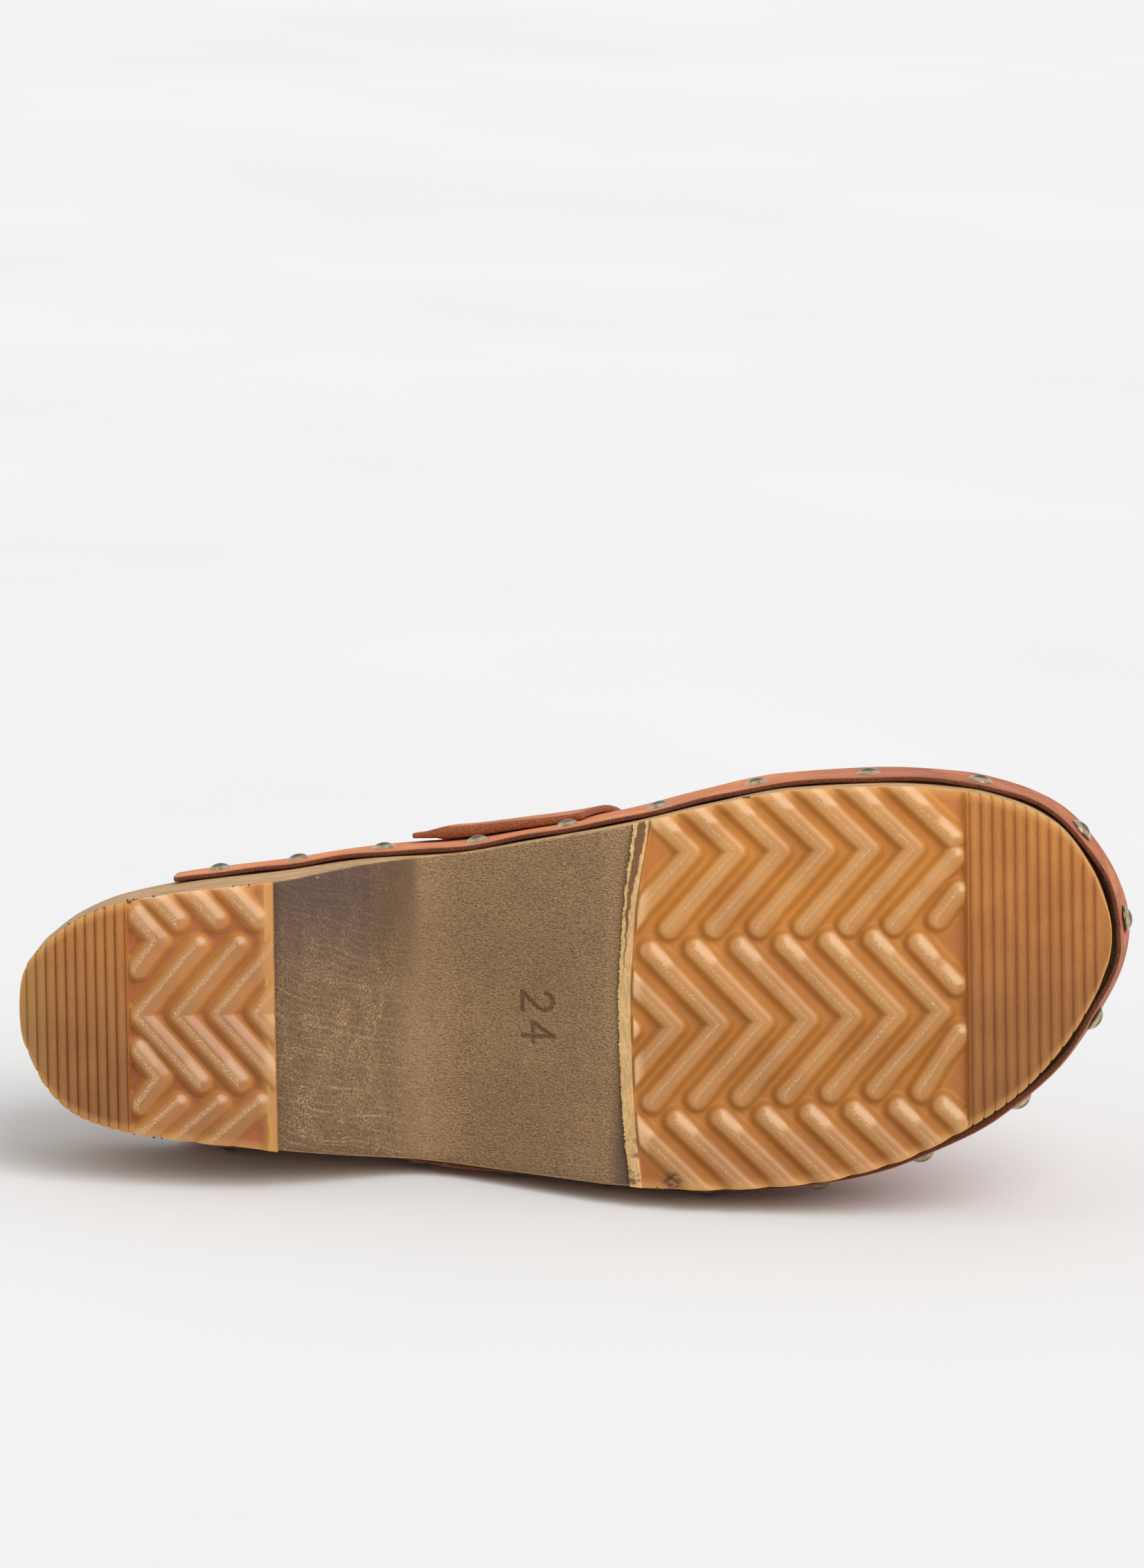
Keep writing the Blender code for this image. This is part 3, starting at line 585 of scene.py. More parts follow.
def x_of(turn):
    """Distance along the shoe of a station."""
    return LENGTH * (1.0 - np.cos(math.pi * np.asarray(turn, dtype=float))) / 2.0


def blend(start, end, share):
    """Value between start and end."""
    return start + (end - start) * share


def wave_noise(x, y, z, size):
    """Smooth seeded noise at points, with features of a size."""
    x, y, z = np.broadcast_arrays(np.asarray(x, dtype=float), y, z)
    flat = zip(x.ravel() / size, y.ravel() / size, z.ravel() / size)
    return np.array([noise.noise(Vector(point)) for point in flat]).reshape(x.shape)


OUTLINE_TURNS = turn_of(table_column(OUTLINE_ROWS, OUTLINE_COLUMNS, "x"))
EDGE_Y = {
    INNER: smooth_curve(OUTLINE_TURNS, table_column(OUTLINE_ROWS, OUTLINE_COLUMNS, "inner_y")),
    OUTER: smooth_curve(OUTLINE_TURNS, table_column(OUTLINE_ROWS, OUTLINE_COLUMNS, "outer_y")),
}
FLARE = {
    INNER: smooth_column(RIM_ROWS, RIM_COLUMNS, "x", "inner_flare"),
    OUTER: smooth_column(RIM_ROWS, RIM_COLUMNS, "x", "outer_flare"),
}
RIM_Z = smooth_column(RIM_ROWS, RIM_COLUMNS, "x", "rim_z")
ROUNDING = smooth_column(RIM_ROWS, RIM_COLUMNS, "x", "rounding")
BED_DEPTH = smooth_column(RIM_ROWS, RIM_COLUMNS, "x", "bed_depth")
ARCH_RISE = smooth_column(ARCH_ROWS, ARCH_COLUMNS, "x", "rise")
SPINE_Y = smooth_column(SPINE_ROWS, SPINE_COLUMNS, "x", "y")
SPINE_Z = smooth_column(SPINE_ROWS, SPINE_COLUMNS, "x", "z")
FORE_PAD_BACK = smooth_column(FORE_PAD_BACK_ROWS, FORE_PAD_BACK_COLUMNS, "y", "x")
STRAP_BACK = smooth_column(STRAP_ROWS, STRAP_COLUMNS, "place", "back_x")
STRAP_FRONT = smooth_column(STRAP_ROWS, STRAP_COLUMNS, "place", "front_x")

LIE_TURN = Euler((math.radians(LIE_ROLL_DEGREES), 0.0, math.radians(LIE_SWING_DEGREES)), "ZYX").to_matrix()
LYING = Matrix.Translation(Vector(LIE_PLACE) * MILLIMETRE) @ LIE_TURN.to_4x4()


def outline(turn, side, grow=0.0):
    """Plan point on the tread's edge, moved outwards by grow."""
    step = 0.002
    turn = np.asarray(turn, dtype=float)
    before = np.clip(turn - step, 0.0, 1.0)
    after = np.clip(turn + step, 0.0, 1.0)
    run_x = x_of(after) - x_of(before)
    run_y = EDGE_Y[side](after) - EDGE_Y[side](before)
    length = np.hypot(run_x, run_y)
    at_end = (turn <= 0.0) | (turn >= 1.0)
    out_x = np.where(at_end, np.where(turn <= 0.0, -1.0, 1.0), -run_y / length * side)
    out_y = np.where(at_end, 0.0, run_x / length * side)
    return x_of(turn) + out_x * grow, EDGE_Y[side](turn) + out_y * grow


def spring(x):
    """Lift of the toe off the floor."""
    share = np.maximum(0.0, (x - SPRING_START) / (LENGTH - SPRING_START))
    return TOE_SPRING * share * share


def wood_bottom(x):
    """Height of the wood's underside."""
    return PAD_THICKNESS + GAP + spring(x) + ARCH_RISE(x)


# Meshes


def set_attribute(mesh, name, values):
    """Store one number for each point of a mesh."""
    attribute = mesh.attributes.new(name, "FLOAT", "POINT")
    attribute.data.foreach_set("value", np.asarray(values, dtype=np.float32).ravel())


def laid_piece(name, maker, sharp_degrees):
    """A piece made in the shoe's frame and laid down with it; each point keeps its place on the shoe."""
    bmesh.ops.recalc_face_normals(maker, faces=maker.faces[:])
    mesh = bpy.data.meshes.new(name)
    maker.to_mesh(mesh)
    maker.free()
    places = np.empty(len(mesh.vertices) * 3, dtype=np.float32)
    mesh.vertices.foreach_get("co", places)
    mesh.attributes.new("shoe_place", "FLOAT_VECTOR", "POINT").data.foreach_set("vector", places)
    mesh.transform(LYING @ Matrix.Scale(MILLIMETRE, 4))
    mesh.shade_smooth()
    mesh.set_sharp_from_angle(angle=math.radians(sharp_degrees))
    piece = bpy.data.objects.new(name, mesh)
    bpy.context.scene.collection.objects.link(piece)
    return piece


def ring_skin(rings, attributes, capped=False):
    """A mesh skinned over closed rings of points, with faces over its end rings if it is capped."""
    rows, count = rings.shape[:2]
    index = np.arange(rows * count).reshape(rows, count)
    beside = np.roll(index, -1, axis=1)
    faces = np.stack([index[:-1], beside[:-1], beside[1:], index[1:]], axis=-1).reshape(-1, 4).tolist()
    if capped:
        faces += [index[0].tolist(), index[-1].tolist()]
    mesh = bpy.data.meshes.new("skin")
    mesh.from_pydata(rings.reshape(-1, 3).tolist(), [], faces)
    for attribute, values in attributes.items():
        set_attribute(mesh, attribute, values)
    maker = bmesh.new()
    maker.from_mesh(mesh)
    bpy.data.meshes.remove(mesh)
    return maker


def ring_piece(name, rings, attributes, weld=0.004, sharp_degrees=50.0):
    """A piece skinned over closed rings of points, welded where they meet."""
    maker = ring_skin(rings, attributes)
    bmesh.ops.remove_doubles(maker, verts=maker.verts[:], dist=weld)
    return laid_piece(name, maker, sharp_degrees)


def stack_points(x, y, z):
    """Points from arrays of coordinates."""
    return np.stack(np.broadcast_arrays(x, y, z), axis=-1).astype(float)


def segment_offset(x, y, start, end):
    """Way from a straight line between two points to plan points, and the share along it."""
    run = np.array(end) - np.array(start)
    share = np.clip(((x - start[0]) * run[0] + (y - start[1]) * run[1]) / (run @ run), 0.0, 1.0)
    return x - start[0] - run[0] * share, y - start[1] - run[1] * share, share


# Wooden sole


def figure_two():
    """Line of a figure two in a box one high and one wide."""
    angles = np.radians(range(165, -46, -15))
    bow = [(0.5 + 0.4 * math.cos(angle), 0.7 + 0.3 * math.sin(angle)) for angle in angles]
    return bow + [(0.08, 0.0), (0.95, 0.0)]


def figure_four():
    """Line of a figure four in a box one high and one wide."""
    return [(0.7, 0.0), (0.7, 1.0), (0.05, 0.32), (0.98, 0.32)]


def stamp_depth(x, y):
    """Depth of the stamped number at plan points: it reads towards the outer side, tops to the toe."""
    nearest = np.full(np.shape(x), FAR_OFF)
    start_x = STAMP_X - FIGURE_HEIGHT / 2.0
    for number, line in enumerate((figure_two(), figure_four())):
        start_y = STAMP_Y + (number - 0.5) * FIGURE_PITCH - FIGURE_WIDTH / 2.0
        points = [(start_x + v * FIGURE_HEIGHT, start_y + u * FIGURE_WIDTH) for u, v in line]
        for start, end in zip(points, points[1:]):
            off_x, off_y, _ = segment_offset(x, y, start, end)
            nearest = np.minimum(nearest, np.hypot(off_x, off_y))
    return 1.0 - smooth_step(nearest, 0.25 * STAMP_CUT_WIDTH, STAMP_CUT_WIDTH)


def wood_wall(turn, side):
    """Points up one side of the wood, from the bottom edge to the rim's crest."""
    chamfer = 0.45
    x, y = outline(turn, side)
    low = wood_bottom(x)
    inset_x, inset_y = outline(turn, side, -chamfer)
    points = [stack_points(inset_x, inset_y, low), stack_points(x, y, low + chamfer)]
    rounding = ROUNDING(x)
    for turned in np.linspace(0.0, math.pi / 2.0, 8):
        plan_x, plan_y = outline(turn, side, FLARE[side](x) - rounding * (1.0 - math.cos(turned)))
        points.append(stack_points(plan_x, plan_y, RIM_Z(plan_x) - rounding * (1.0 - math.sin(turned))))
    return np.stack(points, axis=1)


def wood_stations():
    """Distances along the wood: crowded at the ends and at the stamped number."""
    ends = 10.0
    heel = x_of(np.linspace(0.0, turn_of(ends), 16))
    toe = x_of(np.linspace(turn_of(LENGTH - ends), 1.0, 16))
    middle = np.arange(ends, LENGTH - ends, 1.25)
    stamp = np.arange(STAMP_X - 5.0, STAMP_X + 5.0, 0.22)
    middle = middle[(middle < stamp[0]) | (middle > stamp[-1])]
    return np.unique(np.concatenate([heel, middle, stamp, toe]))


def make_wood_sole():
    """The one-block sole with heel, arch, stamped number and hollow footbed."""
    turn = turn_of(wood_stations())
    inner_wall = wood_wall(turn, INNER)
    outer_wall = wood_wall(turn, OUTER)
    close_shares = np.arange(*STAMP_SHARES, STAMP_SHARE_STEP)
    shares = np.unique(np.concatenate([np.linspace(0.0, 1.0, 37), close_shares]))[1:-1]
    bottom = blend(inner_wall[:, :1], outer_wall[:, :1], shares[None, :, None])
    stamp = stamp_depth(bottom[..., 0], bottom[..., 1])
    bottom[..., 2] += stamp * STAMP_CUT_DEPTH
    bed_shares = np.linspace(0.0, 1.0, 29)[1:-1]
    bed = blend(outer_wall[:, -1:], inner_wall[:, -1:], bed_shares[None, :, None])
    width = np.linalg.norm(outer_wall[:, -1] - inner_wall[:, -1], axis=1)
    depth = BED_DEPTH(inner_wall[:, -1, 0]) * np.minimum(1.0, width / BED_FULL_WIDTH) ** 2
    bed[..., 2] -= depth[:, None] * (1.0 - np.abs(2.0 * bed_shares - 1.0) ** 3)
    rings = np.concatenate([bottom, outer_wall, bed, inner_wall[:, ::-1]], axis=1)
    underside = np.zeros(rings.shape[:2])
    underside[:, : bottom.shape[1] + 1] = 1.0
    underside[:, -1] = 1.0
    footbed = np.zeros(rings.shape[:2])
    bed_start = bottom.shape[1] + outer_wall.shape[1]
    footbed[:, bed_start: bed_start + bed.shape[1]] = 1.0
    stamped = np.zeros(rings.shape[:2])
    stamped[:, : bottom.shape[1]] = stamp
    attributes = {"underside": underside, "footbed": footbed, "stamped": stamped}
    return ring_piece("wooden_sole", rings, attributes)


# Rubber pads


def lug_lines(pad):
    """Straight stretches of a pad's lugs, and whether they start in a free end."""
    for lug in named_rows(LUG_ROWS, LUG_COLUMNS):
        if lug["pad"] != pad:
            continue
        for i in range(lug["count"]):
            corner = np.array((lug["x"] + lug["pitch_x"] * i, lug["y"] + lug["pitch_y"] * i))
            for arm in (lug["first_arm"], lug["second_arm"]):
                if arm:
                    yield corner, corner + np.array(arm), lug["second_arm"] is None


def lug_field(pad, x, y):
    """Distance to the nearest lug's crest, positive towards the toe, height share, and the mask of a
    highlight painted on the lit tips.
    """
    nearest = np.full(x.shape, LUG_FAR)
    ahead = np.zeros(x.shape)
    inward = np.zeros(x.shape)
    to_end = np.full(x.shape, LUG_FAR)
    for start, end, start_is_free in lug_lines(pad):
        off_x, off_y, share = segment_offset(x, y, start, end)
        distance = np.hypot(off_x, off_y)
        closer = distance < nearest
        nearest = np.where(closer, distance, nearest)
        way = np.maximum(distance, 0.01)
        ahead = np.where(closer, off_x / way, ahead)
        inward = np.where(closer, -off_y / way, inward)
        length = np.linalg.norm(end - start)
        free_run = np.minimum(share, 1.0 - share) if start_is_free else 1.0 - share
        to_end = np.where(closer, free_run * length, to_end)
    to_inner_edge = y - EDGE_Y[INNER](turn_of(x))
    to_end = np.minimum(to_end, LUG_SLANT * to_inner_edge)
    near_end = 1.0 - smooth_step(to_end, *LUG_END_LENGTH)
    before_crest = smooth_step(ahead, -0.5, 0.5)
    off = np.hypot(nearest, LUG_CREST_ROUNDING) - LUG_CREST_ROUNDING
    slope = blend(LUG_BAND_SLOPE, blend(*LUG_FACET_SLOPE[pad], near_end), before_crest)
    plane_half = blend(LUG_BAND_HALF[pad], blend(*LUG_FACET_HALF[pad], near_end), before_crest)
    sides = 1.0 - smooth_step(off, plane_half, LUG_BASE_HALF[pad])
    # Mask of a painted highlight on the facets near free ends that face the light
    on_facet = smooth_step(ahead + inward, *LUG_HIGHLIGHT_FACING) * (1.0 - smooth_step(nearest, *LUG_HIGHLIGHT_HALF))
    tip = on_facet * (1.0 - smooth_step(to_end, *LUG_HIGHLIGHT_LENGTH))
    return np.where(ahead >= 0.0, nearest, -nearest), np.maximum(1.0 - slope * off, 0.0) * sides, tip


def rib_run(pad):
    """First groove, pitch and count of a pad's ribs."""
    for run in named_rows(RIB_ROWS, RIB_COLUMNS):
        if run["pad"] == pad:
            return run["first_x"], run["pitch"], run["count"]


def rib_depth(pad, x):
    """Depth of the crowned ribs below the tread, their grooves alone, and the share across a rib."""
    first, pitch, count = rib_run(pad)
    phase = np.clip((x - first) / pitch, 0.0, count - 1.0)
    off = np.abs(x - first - np.round(phase) * pitch)
    groove = np.exp(-((off / RIB_GROOVE_HALF) ** 2))
    crown = np.clip(1.0 - off / (abs(pitch) / 2.0), 0.0, 1.0) ** 2
    depth = RIB_GROOVE_DEPTH[pad] * groove + RIB_CROWN[pad] * crown
    return depth, groove, np.mod((x - first) / abs(pitch), 1.0)


def rib_stations(pad):
    """Distances that follow each rib's groove closely."""
    first, pitch, count = rib_run(pad)
    middles = first + pitch * np.arange(count)
    return (middles[:, None] + np.array(RIB_ROW_OFFSETS)).ravel()


def pad_columns(width):
    """Shares across a pad, with close columns at both edges."""
    edge = np.array(PAD_EDGE_COLUMNS) / width
    inset = PAD_INNER_COLUMN / width
    inside = np.linspace(inset, 1.0 - inset, int(width / PAD_COLUMN_PITCH))
    return np.concatenate([edge, inside, 1.0 - edge[::-1]])


def make_pad(name, pad, x_rows, back, notched, depth_of):
    """A rubber pad: a tread with relief, straight sides and a flat back against the wood."""
    x_rows = np.unique(np.round(x_rows, 3))
    shares = pad_columns(PAD_WIDTH[pad])
    x = np.repeat(x_rows[:, None], len(shares), axis=1)
    base_x = x.copy()
    for _ in range(3):
        turn = turn_of(np.clip(x, 0.0, LENGTH))
        notch = RIB_NOTCH * notched(x)
        inner_y = EDGE_Y[INNER](turn) + notch
        outer_y = np.maximum(EDGE_Y[OUTER](turn) - notch, inner_y)
        y = blend(inner_y, outer_y, shares)
        x = base_x + back(base_x, y)
    width = outer_y - inner_y
    to_edge = np.minimum(shares, 1.0 - shares) * width
    depth, marks = depth_of(x, y)
    raised = np.clip(1.0 - depth / TREAD_DEPTH, 0.2, 1.0)
    depth = depth + PAD_EDGE_ROUNDING * (1.0 - smooth_step(to_edge, 0.0, PAD_EDGE_WIDTH)) * raised
    tread = stack_points(x, y, spring(x) + depth)
    top_inner = tread[:, :1].copy()
    top_outer = tread[:, -1:].copy()
    for top in (top_inner, top_outer):
        top[..., 2] = spring(top[..., 0]) + PAD_THICKNESS
    rings = np.concatenate([top_inner, tread, top_outer], axis=1)
    # The straight end is the forefoot pad's first row and the heel pad's last one
    end_row = 0 if pad == "fore" else -1
    closing = rings[[end_row]]
    closing[..., 2] = spring(closing[..., 0]) + PAD_THICKNESS

    def with_end(rows, end):
        return np.concatenate([end, rows] if pad == "fore" else [rows, end], axis=0)

    marks["to_edge"] = to_edge
    attributes = {}
    for mark, values in marks.items():
        padded = np.concatenate([values[:, :1], values, values[:, -1:]], axis=1)
        attributes[mark] = with_end(padded, padded[[end_row]])
    return ring_piece(name, with_end(rings, closing), attributes, sharp_degrees=70.0)


def make_heel_pad():
    """Heel pad with ribs at the back, chevrons and a plain border at the front."""
    ribs_end = rib_run("heel")[0]
    border = HEEL_PAD_FRONT - HEEL_BORDER

    def depth_of(x, y):
        distance, height, tip = lug_field("heel", x, y)
        in_lugs = smooth_step(x, ribs_end + 0.1, ribs_end + 1.2)
        relief = height * in_lugs
        edge_x = border + HEEL_WAVER * wave_noise(0.0, y, 0.0, HEEL_WAVER_SIZE)
        bead_glint = smooth_step(x, edge_x - HEEL_BORDER_SLOPE, edge_x + 0.3)
        ridge = HEEL_RIDGE * np.exp(-(((x - edge_x) / HEEL_RIDGE_HALF) ** 2))
        drip = np.clip(wave_noise(x / 3.0, y, 3.0, HEEL_DRIP_SIZE), 0.0, 1.0)
        drip = drip * smooth_step(x, border - HEEL_DRIP_LENGTH, border)
        ribs, groove, rib_share = rib_depth("heel", x)
        floor = TREAD_DEPTH * (1.0 - relief) - HEEL_DRIP * drip * (1.0 - relief)
        lugs = np.minimum(floor, blend(TREAD_DEPTH, TREAD_DEPTH - HEEL_BORDER_RISE, bead_glint) - ridge)
        depth = blend(ribs, lugs, in_lugs)
        marks = {
            "relief": np.maximum(relief, 0.3 * bead_glint * in_lugs),
            "tip": tip * in_lugs,
            "lug_side": np.where(in_lugs > 0.5, distance, LUG_FAR),
            "groove": groove * (1.0 - in_lugs),
            "ribbed": 1.0 - in_lugs,
            "rib_share": rib_share,
            "border": bead_glint * in_lugs,
            "skive": np.full(x.shape, FAR_OFF),
        }
        return depth, marks

    def straight_back(x, y):
        return 0.0 * y

    def notched(x):
        return rib_depth("heel", x)[1] * (x < ribs_end - 0.5) * (x > 1.0)

    ribs = rib_stations("heel")
    ribs = ribs[(ribs > 2.0) & (ribs < ribs_end + 0.3)]
    back_end = x_of(np.linspace(0.0, turn_of(2.0), 12))
    lugs = np.arange(ribs_end + 0.4, HEEL_PAD_FRONT, PAD_ROW_PITCH["heel"])
    x_rows = np.concatenate([back_end, ribs, lugs, [HEEL_PAD_FRONT]])
    return make_pad("heel_tread", "heel", x_rows, straight_back, notched, depth_of)


def make_fore_pad():
    """Forefoot pad with chevrons, ribs at the toe, and a ragged skived back edge."""
    ribs_start = rib_run("fore")[0]
    back_x = min(table_column(FORE_PAD_BACK_ROWS, FORE_PAD_BACK_COLUMNS, "x"))
    skive_end = back_x + SKIVE_LENGTH_INNER

    def back(x, y):
        fade = 1.0 - smooth_step(x, skive_end, skive_end + SKIVE_BOW_FADE)
        tear = SKIVE_TEAR * wave_noise(0.0, y, 0.0, SKIVE_TEAR_SIZE)
        waver = SKIVE_WAVER * wave_noise(5.0, y, 0.0, SKIVE_WAVER_SIZE)
        torn = (tear + waver) * (1.0 - smooth_step(x, back_x, back_x + 1.5))
        return (FORE_PAD_BACK(y) - back_x) * fade + torn

    def depth_of(x, y):
        distance, height, tip = lug_field("fore", x, y)
        from_back = x - FORE_PAD_BACK(y)
        length = blend(SKIVE_LENGTH_INNER, SKIVE_LENGTH, smooth_step(y, *SKIVE_INNER_FADE))
        in_ribs = smooth_step(x, ribs_start - 1.4, ribs_start - 0.3)
        past_skive = smooth_step(from_back, length - 0.1, length + 0.7)
        relief = height * past_skive * (1.0 - in_ribs)
        ribs, groove, rib_share = rib_depth("fore", x)
        skive = blend(PAD_THICKNESS - SKIVE_EDGE, TREAD_DEPTH - 0.5, np.clip(from_back / length, 0.0, 1.0))
        skive = skive + SKIVE_ROUGHNESS * wave_noise(x, y, 1.0, SKIVE_ROUGHNESS_SIZE)
        lugs = TREAD_DEPTH * (1.0 - relief)
        depth = blend(blend(skive, lugs, past_skive), ribs, in_ribs)
        marks = {
            "relief": relief,
            "tip": tip * past_skive * (1.0 - in_ribs),
            "lug_side": np.where((past_skive > 0.5) & (in_ribs < 0.5), distance, LUG_FAR),
            "groove": groove * in_ribs,
            "ribbed": in_ribs,
            "rib_share": rib_share,
            "border": 0.0 * x,
            "skive": from_back - length,
        }
        return depth, marks

    def notched(x):
        return rib_depth("fore", x)[1] * (x > ribs_start - 0.5) * (x < LENGTH - 6.0)

    ribs = rib_stations("fore")
    ribs = ribs[(ribs > ribs_start - 0.5) & (ribs < LENGTH - 0.9)]
    skive = np.linspace(back_x, skive_end + 1.2, 19)
    lugs = np.arange(skive_end + 1.5, ribs_start - 0.6, PAD_ROW_PITCH["fore"])
    toe = x_of(np.linspace(turn_of(LENGTH - 0.9), 1.0, 8))
    x_rows = np.concatenate([skive, lugs, ribs, toe])
    return make_pad("fore_tread", "fore", x_rows, back, notched, depth_of)


# Leather upper


def wall_grow(x, z, side):
    """How far the wood's wall stands outside the tread at a height."""
    low = wood_bottom(x)
    high = RIM_Z(x) - ROUNDING(x)
    return FLARE[side](x) * np.clip((z - low) / (high - low), 0.0, 1.0)


def stand_off(front, side):
    """Space between wood and leather, wider round the toe."""
    return GAP + TOE_STAND_OFF * smooth_step(front, STAND_OFF_START[side], 1.0)


def upper_turn(front):
    """Station on the sole's edge for a share of the way from the wing's end to the toe."""
    return blend(turn_of(WING_BACK), 1.0, front)


def front_of(x):
    """Share of the way from the wing's end to the toe at a distance along the sole's edge."""
    return (turn_of(x) - turn_of(WING_BACK)) / (1.0 - turn_of(WING_BACK))


def skirt_point(front, side, drop):
    """Point of the upper's inner face beside the wood, a drop below the rim."""
    turn = upper_turn(front)
    x = x_of(turn)
    z = RIM_Z(x) - drop
    plan_x, plan_y = outline(turn, side, wall_grow(x, z, side) + stand_off(front, side))
    return stack_points(plan_x, plan_y, z)


def arch_point(front, side, place):
    """Point of the upper's inner face above the rim: place 0 on the spine, 1 on the rim."""
    turn = upper_turn(front)
    rim_x = x_of(turn)
    crown = blend(CROWN_BACK, CROWN_TOE, front)
    fullness = blend(SIDE_FULLNESS_BACK[side], SIDE_FULLNESS_TOE, front)
    reach = np.sin(place * math.pi / 2.0)
    height = np.maximum(0.0, 1.0 - reach ** crown) ** (1.0 / fullness)
    bulge = TOE_BULGE * front * 4.0 * height * (1.0 - height)
    edge_x, edge_y = outline(turn, side, FLARE[side](rim_x) + stand_off(front, side) + bulge)
    spine_x = blend(THROAT_X, TOE_POLE_X, front)
    back_sweep = (1.0 - height) ** TOPLINE_SWEEP
    sweep = blend(back_sweep, reach, np.minimum(1.0, front * 1.6))
    x = blend(spine_x, edge_x, sweep)
    y = blend(SPINE_Y(spine_x), edge_y, reach)
    z = blend(RIM_Z(rim_x), SPINE_Z(x), height)
    return stack_points(x, y, z)


def upper_point(front, side, place):
    """Point of the upper's inner face: place 0 on the spine, 1 on the rim, 2 at the lower edge."""
    front, place = np.broadcast_arrays(np.asarray(front, dtype=float), np.asarray(place, dtype=float))
    arch = arch_point(front, side, np.clip(place, 0.0, 1.0))
    skirt = skirt_point(front, side, np.clip(place - 1.0, 0.0, 1.0) * SKIRT_HEIGHT)
    return np.where((place <= 1.0)[..., None], arch, skirt)


def unit(vectors):
    """Vectors of length one."""
    return vectors / np.maximum(np.linalg.norm(vectors, axis=-1, keepdims=True), 1e-9)


def upper_normal(front, side, place):
    """Outward direction of the upper's face."""
    step = 0.01
    ahead = upper_point(np.minimum(front + step, 1.0), side, place)
    behind = upper_point(np.maximum(front - step, 0.0), side, place)
    lower = upper_point(front, side, np.minimum(place + step, 2.0))
    higher = upper_point(front, side, np.maximum(place - step, 0.0))
    return unit(np.cross(ahead - behind, lower - higher)) * side


def scallops(front, side, place):
    """How far the leather stands out between its nails; its lower edge is tucked in at the toe."""
    studs = named_rows(STUD_ROWS, STUD_COLUMNS)
    nails = sorted(front_of(stud["x"]) for stud in studs if stud["side"] == side)
    first, last = SCALLOP_ENDS[side]
    nails = np.array([first, *nails, last])
    gap = np.clip(np.searchsorted(nails, front) - 1, 0, len(nails) - 2)
    phase = np.clip((front - nails[gap]) / (nails[gap + 1] - nails[gap]), 0.0, 1.0)
    size = blend(SCALLOP_SIDE, SCALLOP_TOE, smooth_step(front, *SCALLOP_GROWTH))
    size = size * (1.0 - smooth_step(front, *SCALLOP_FADE))
    tuck = TOE_TUCK * smooth_step(front, *TUCK_ALONG) * smooth_step(place, *TUCK_DOWN)
    return size * np.sin(math.pi * phase) ** 2 * smooth_step(place, *SCALLOP_DOWN) - tuck


def folds(front, side, place):
    """Height of the leather's soft folds."""
    total = np.zeros(np.broadcast(front, place).shape)
    bent = np.hypot(place, FOLD_BEND) - FOLD_BEND
    for fold in named_rows(FOLD_ROWS, FOLD_COLUMNS):
        if fold["side"] != side:
            continue
        off = (front - fold["front"] - fold["lean"] * bent) / fold["half_width"]
        fade_in = smooth_step(place, fold["place_from"], fold["place_from"] + FOLD_FADE_IN)
        fade_out = 1.0 - smooth_step(place, fold["place_to"] - FOLD_FADE_OUT, fold["place_to"])
        total = total + fold["height"] * np.exp(-off * off) * (fade_in * fade_out)
    return total


def sheet_normals(grid, closed_end):
    """Outward directions of a sheet of points; a closed end lies folded on itself."""
    normals = unit(np.cross(np.gradient(grid, axis=0), np.gradient(grid, axis=1)))
    if closed_end:
        folded = normals[-1] + normals[-1, ::-1]
        # Where the two halves point against each other, the row before gives the direction
        at_fold = np.linalg.norm(folded, axis=1, keepdims=True) < 0.5
        normals[-1] = unit(np.where(at_fold, normals[-2], folded))
    return normals


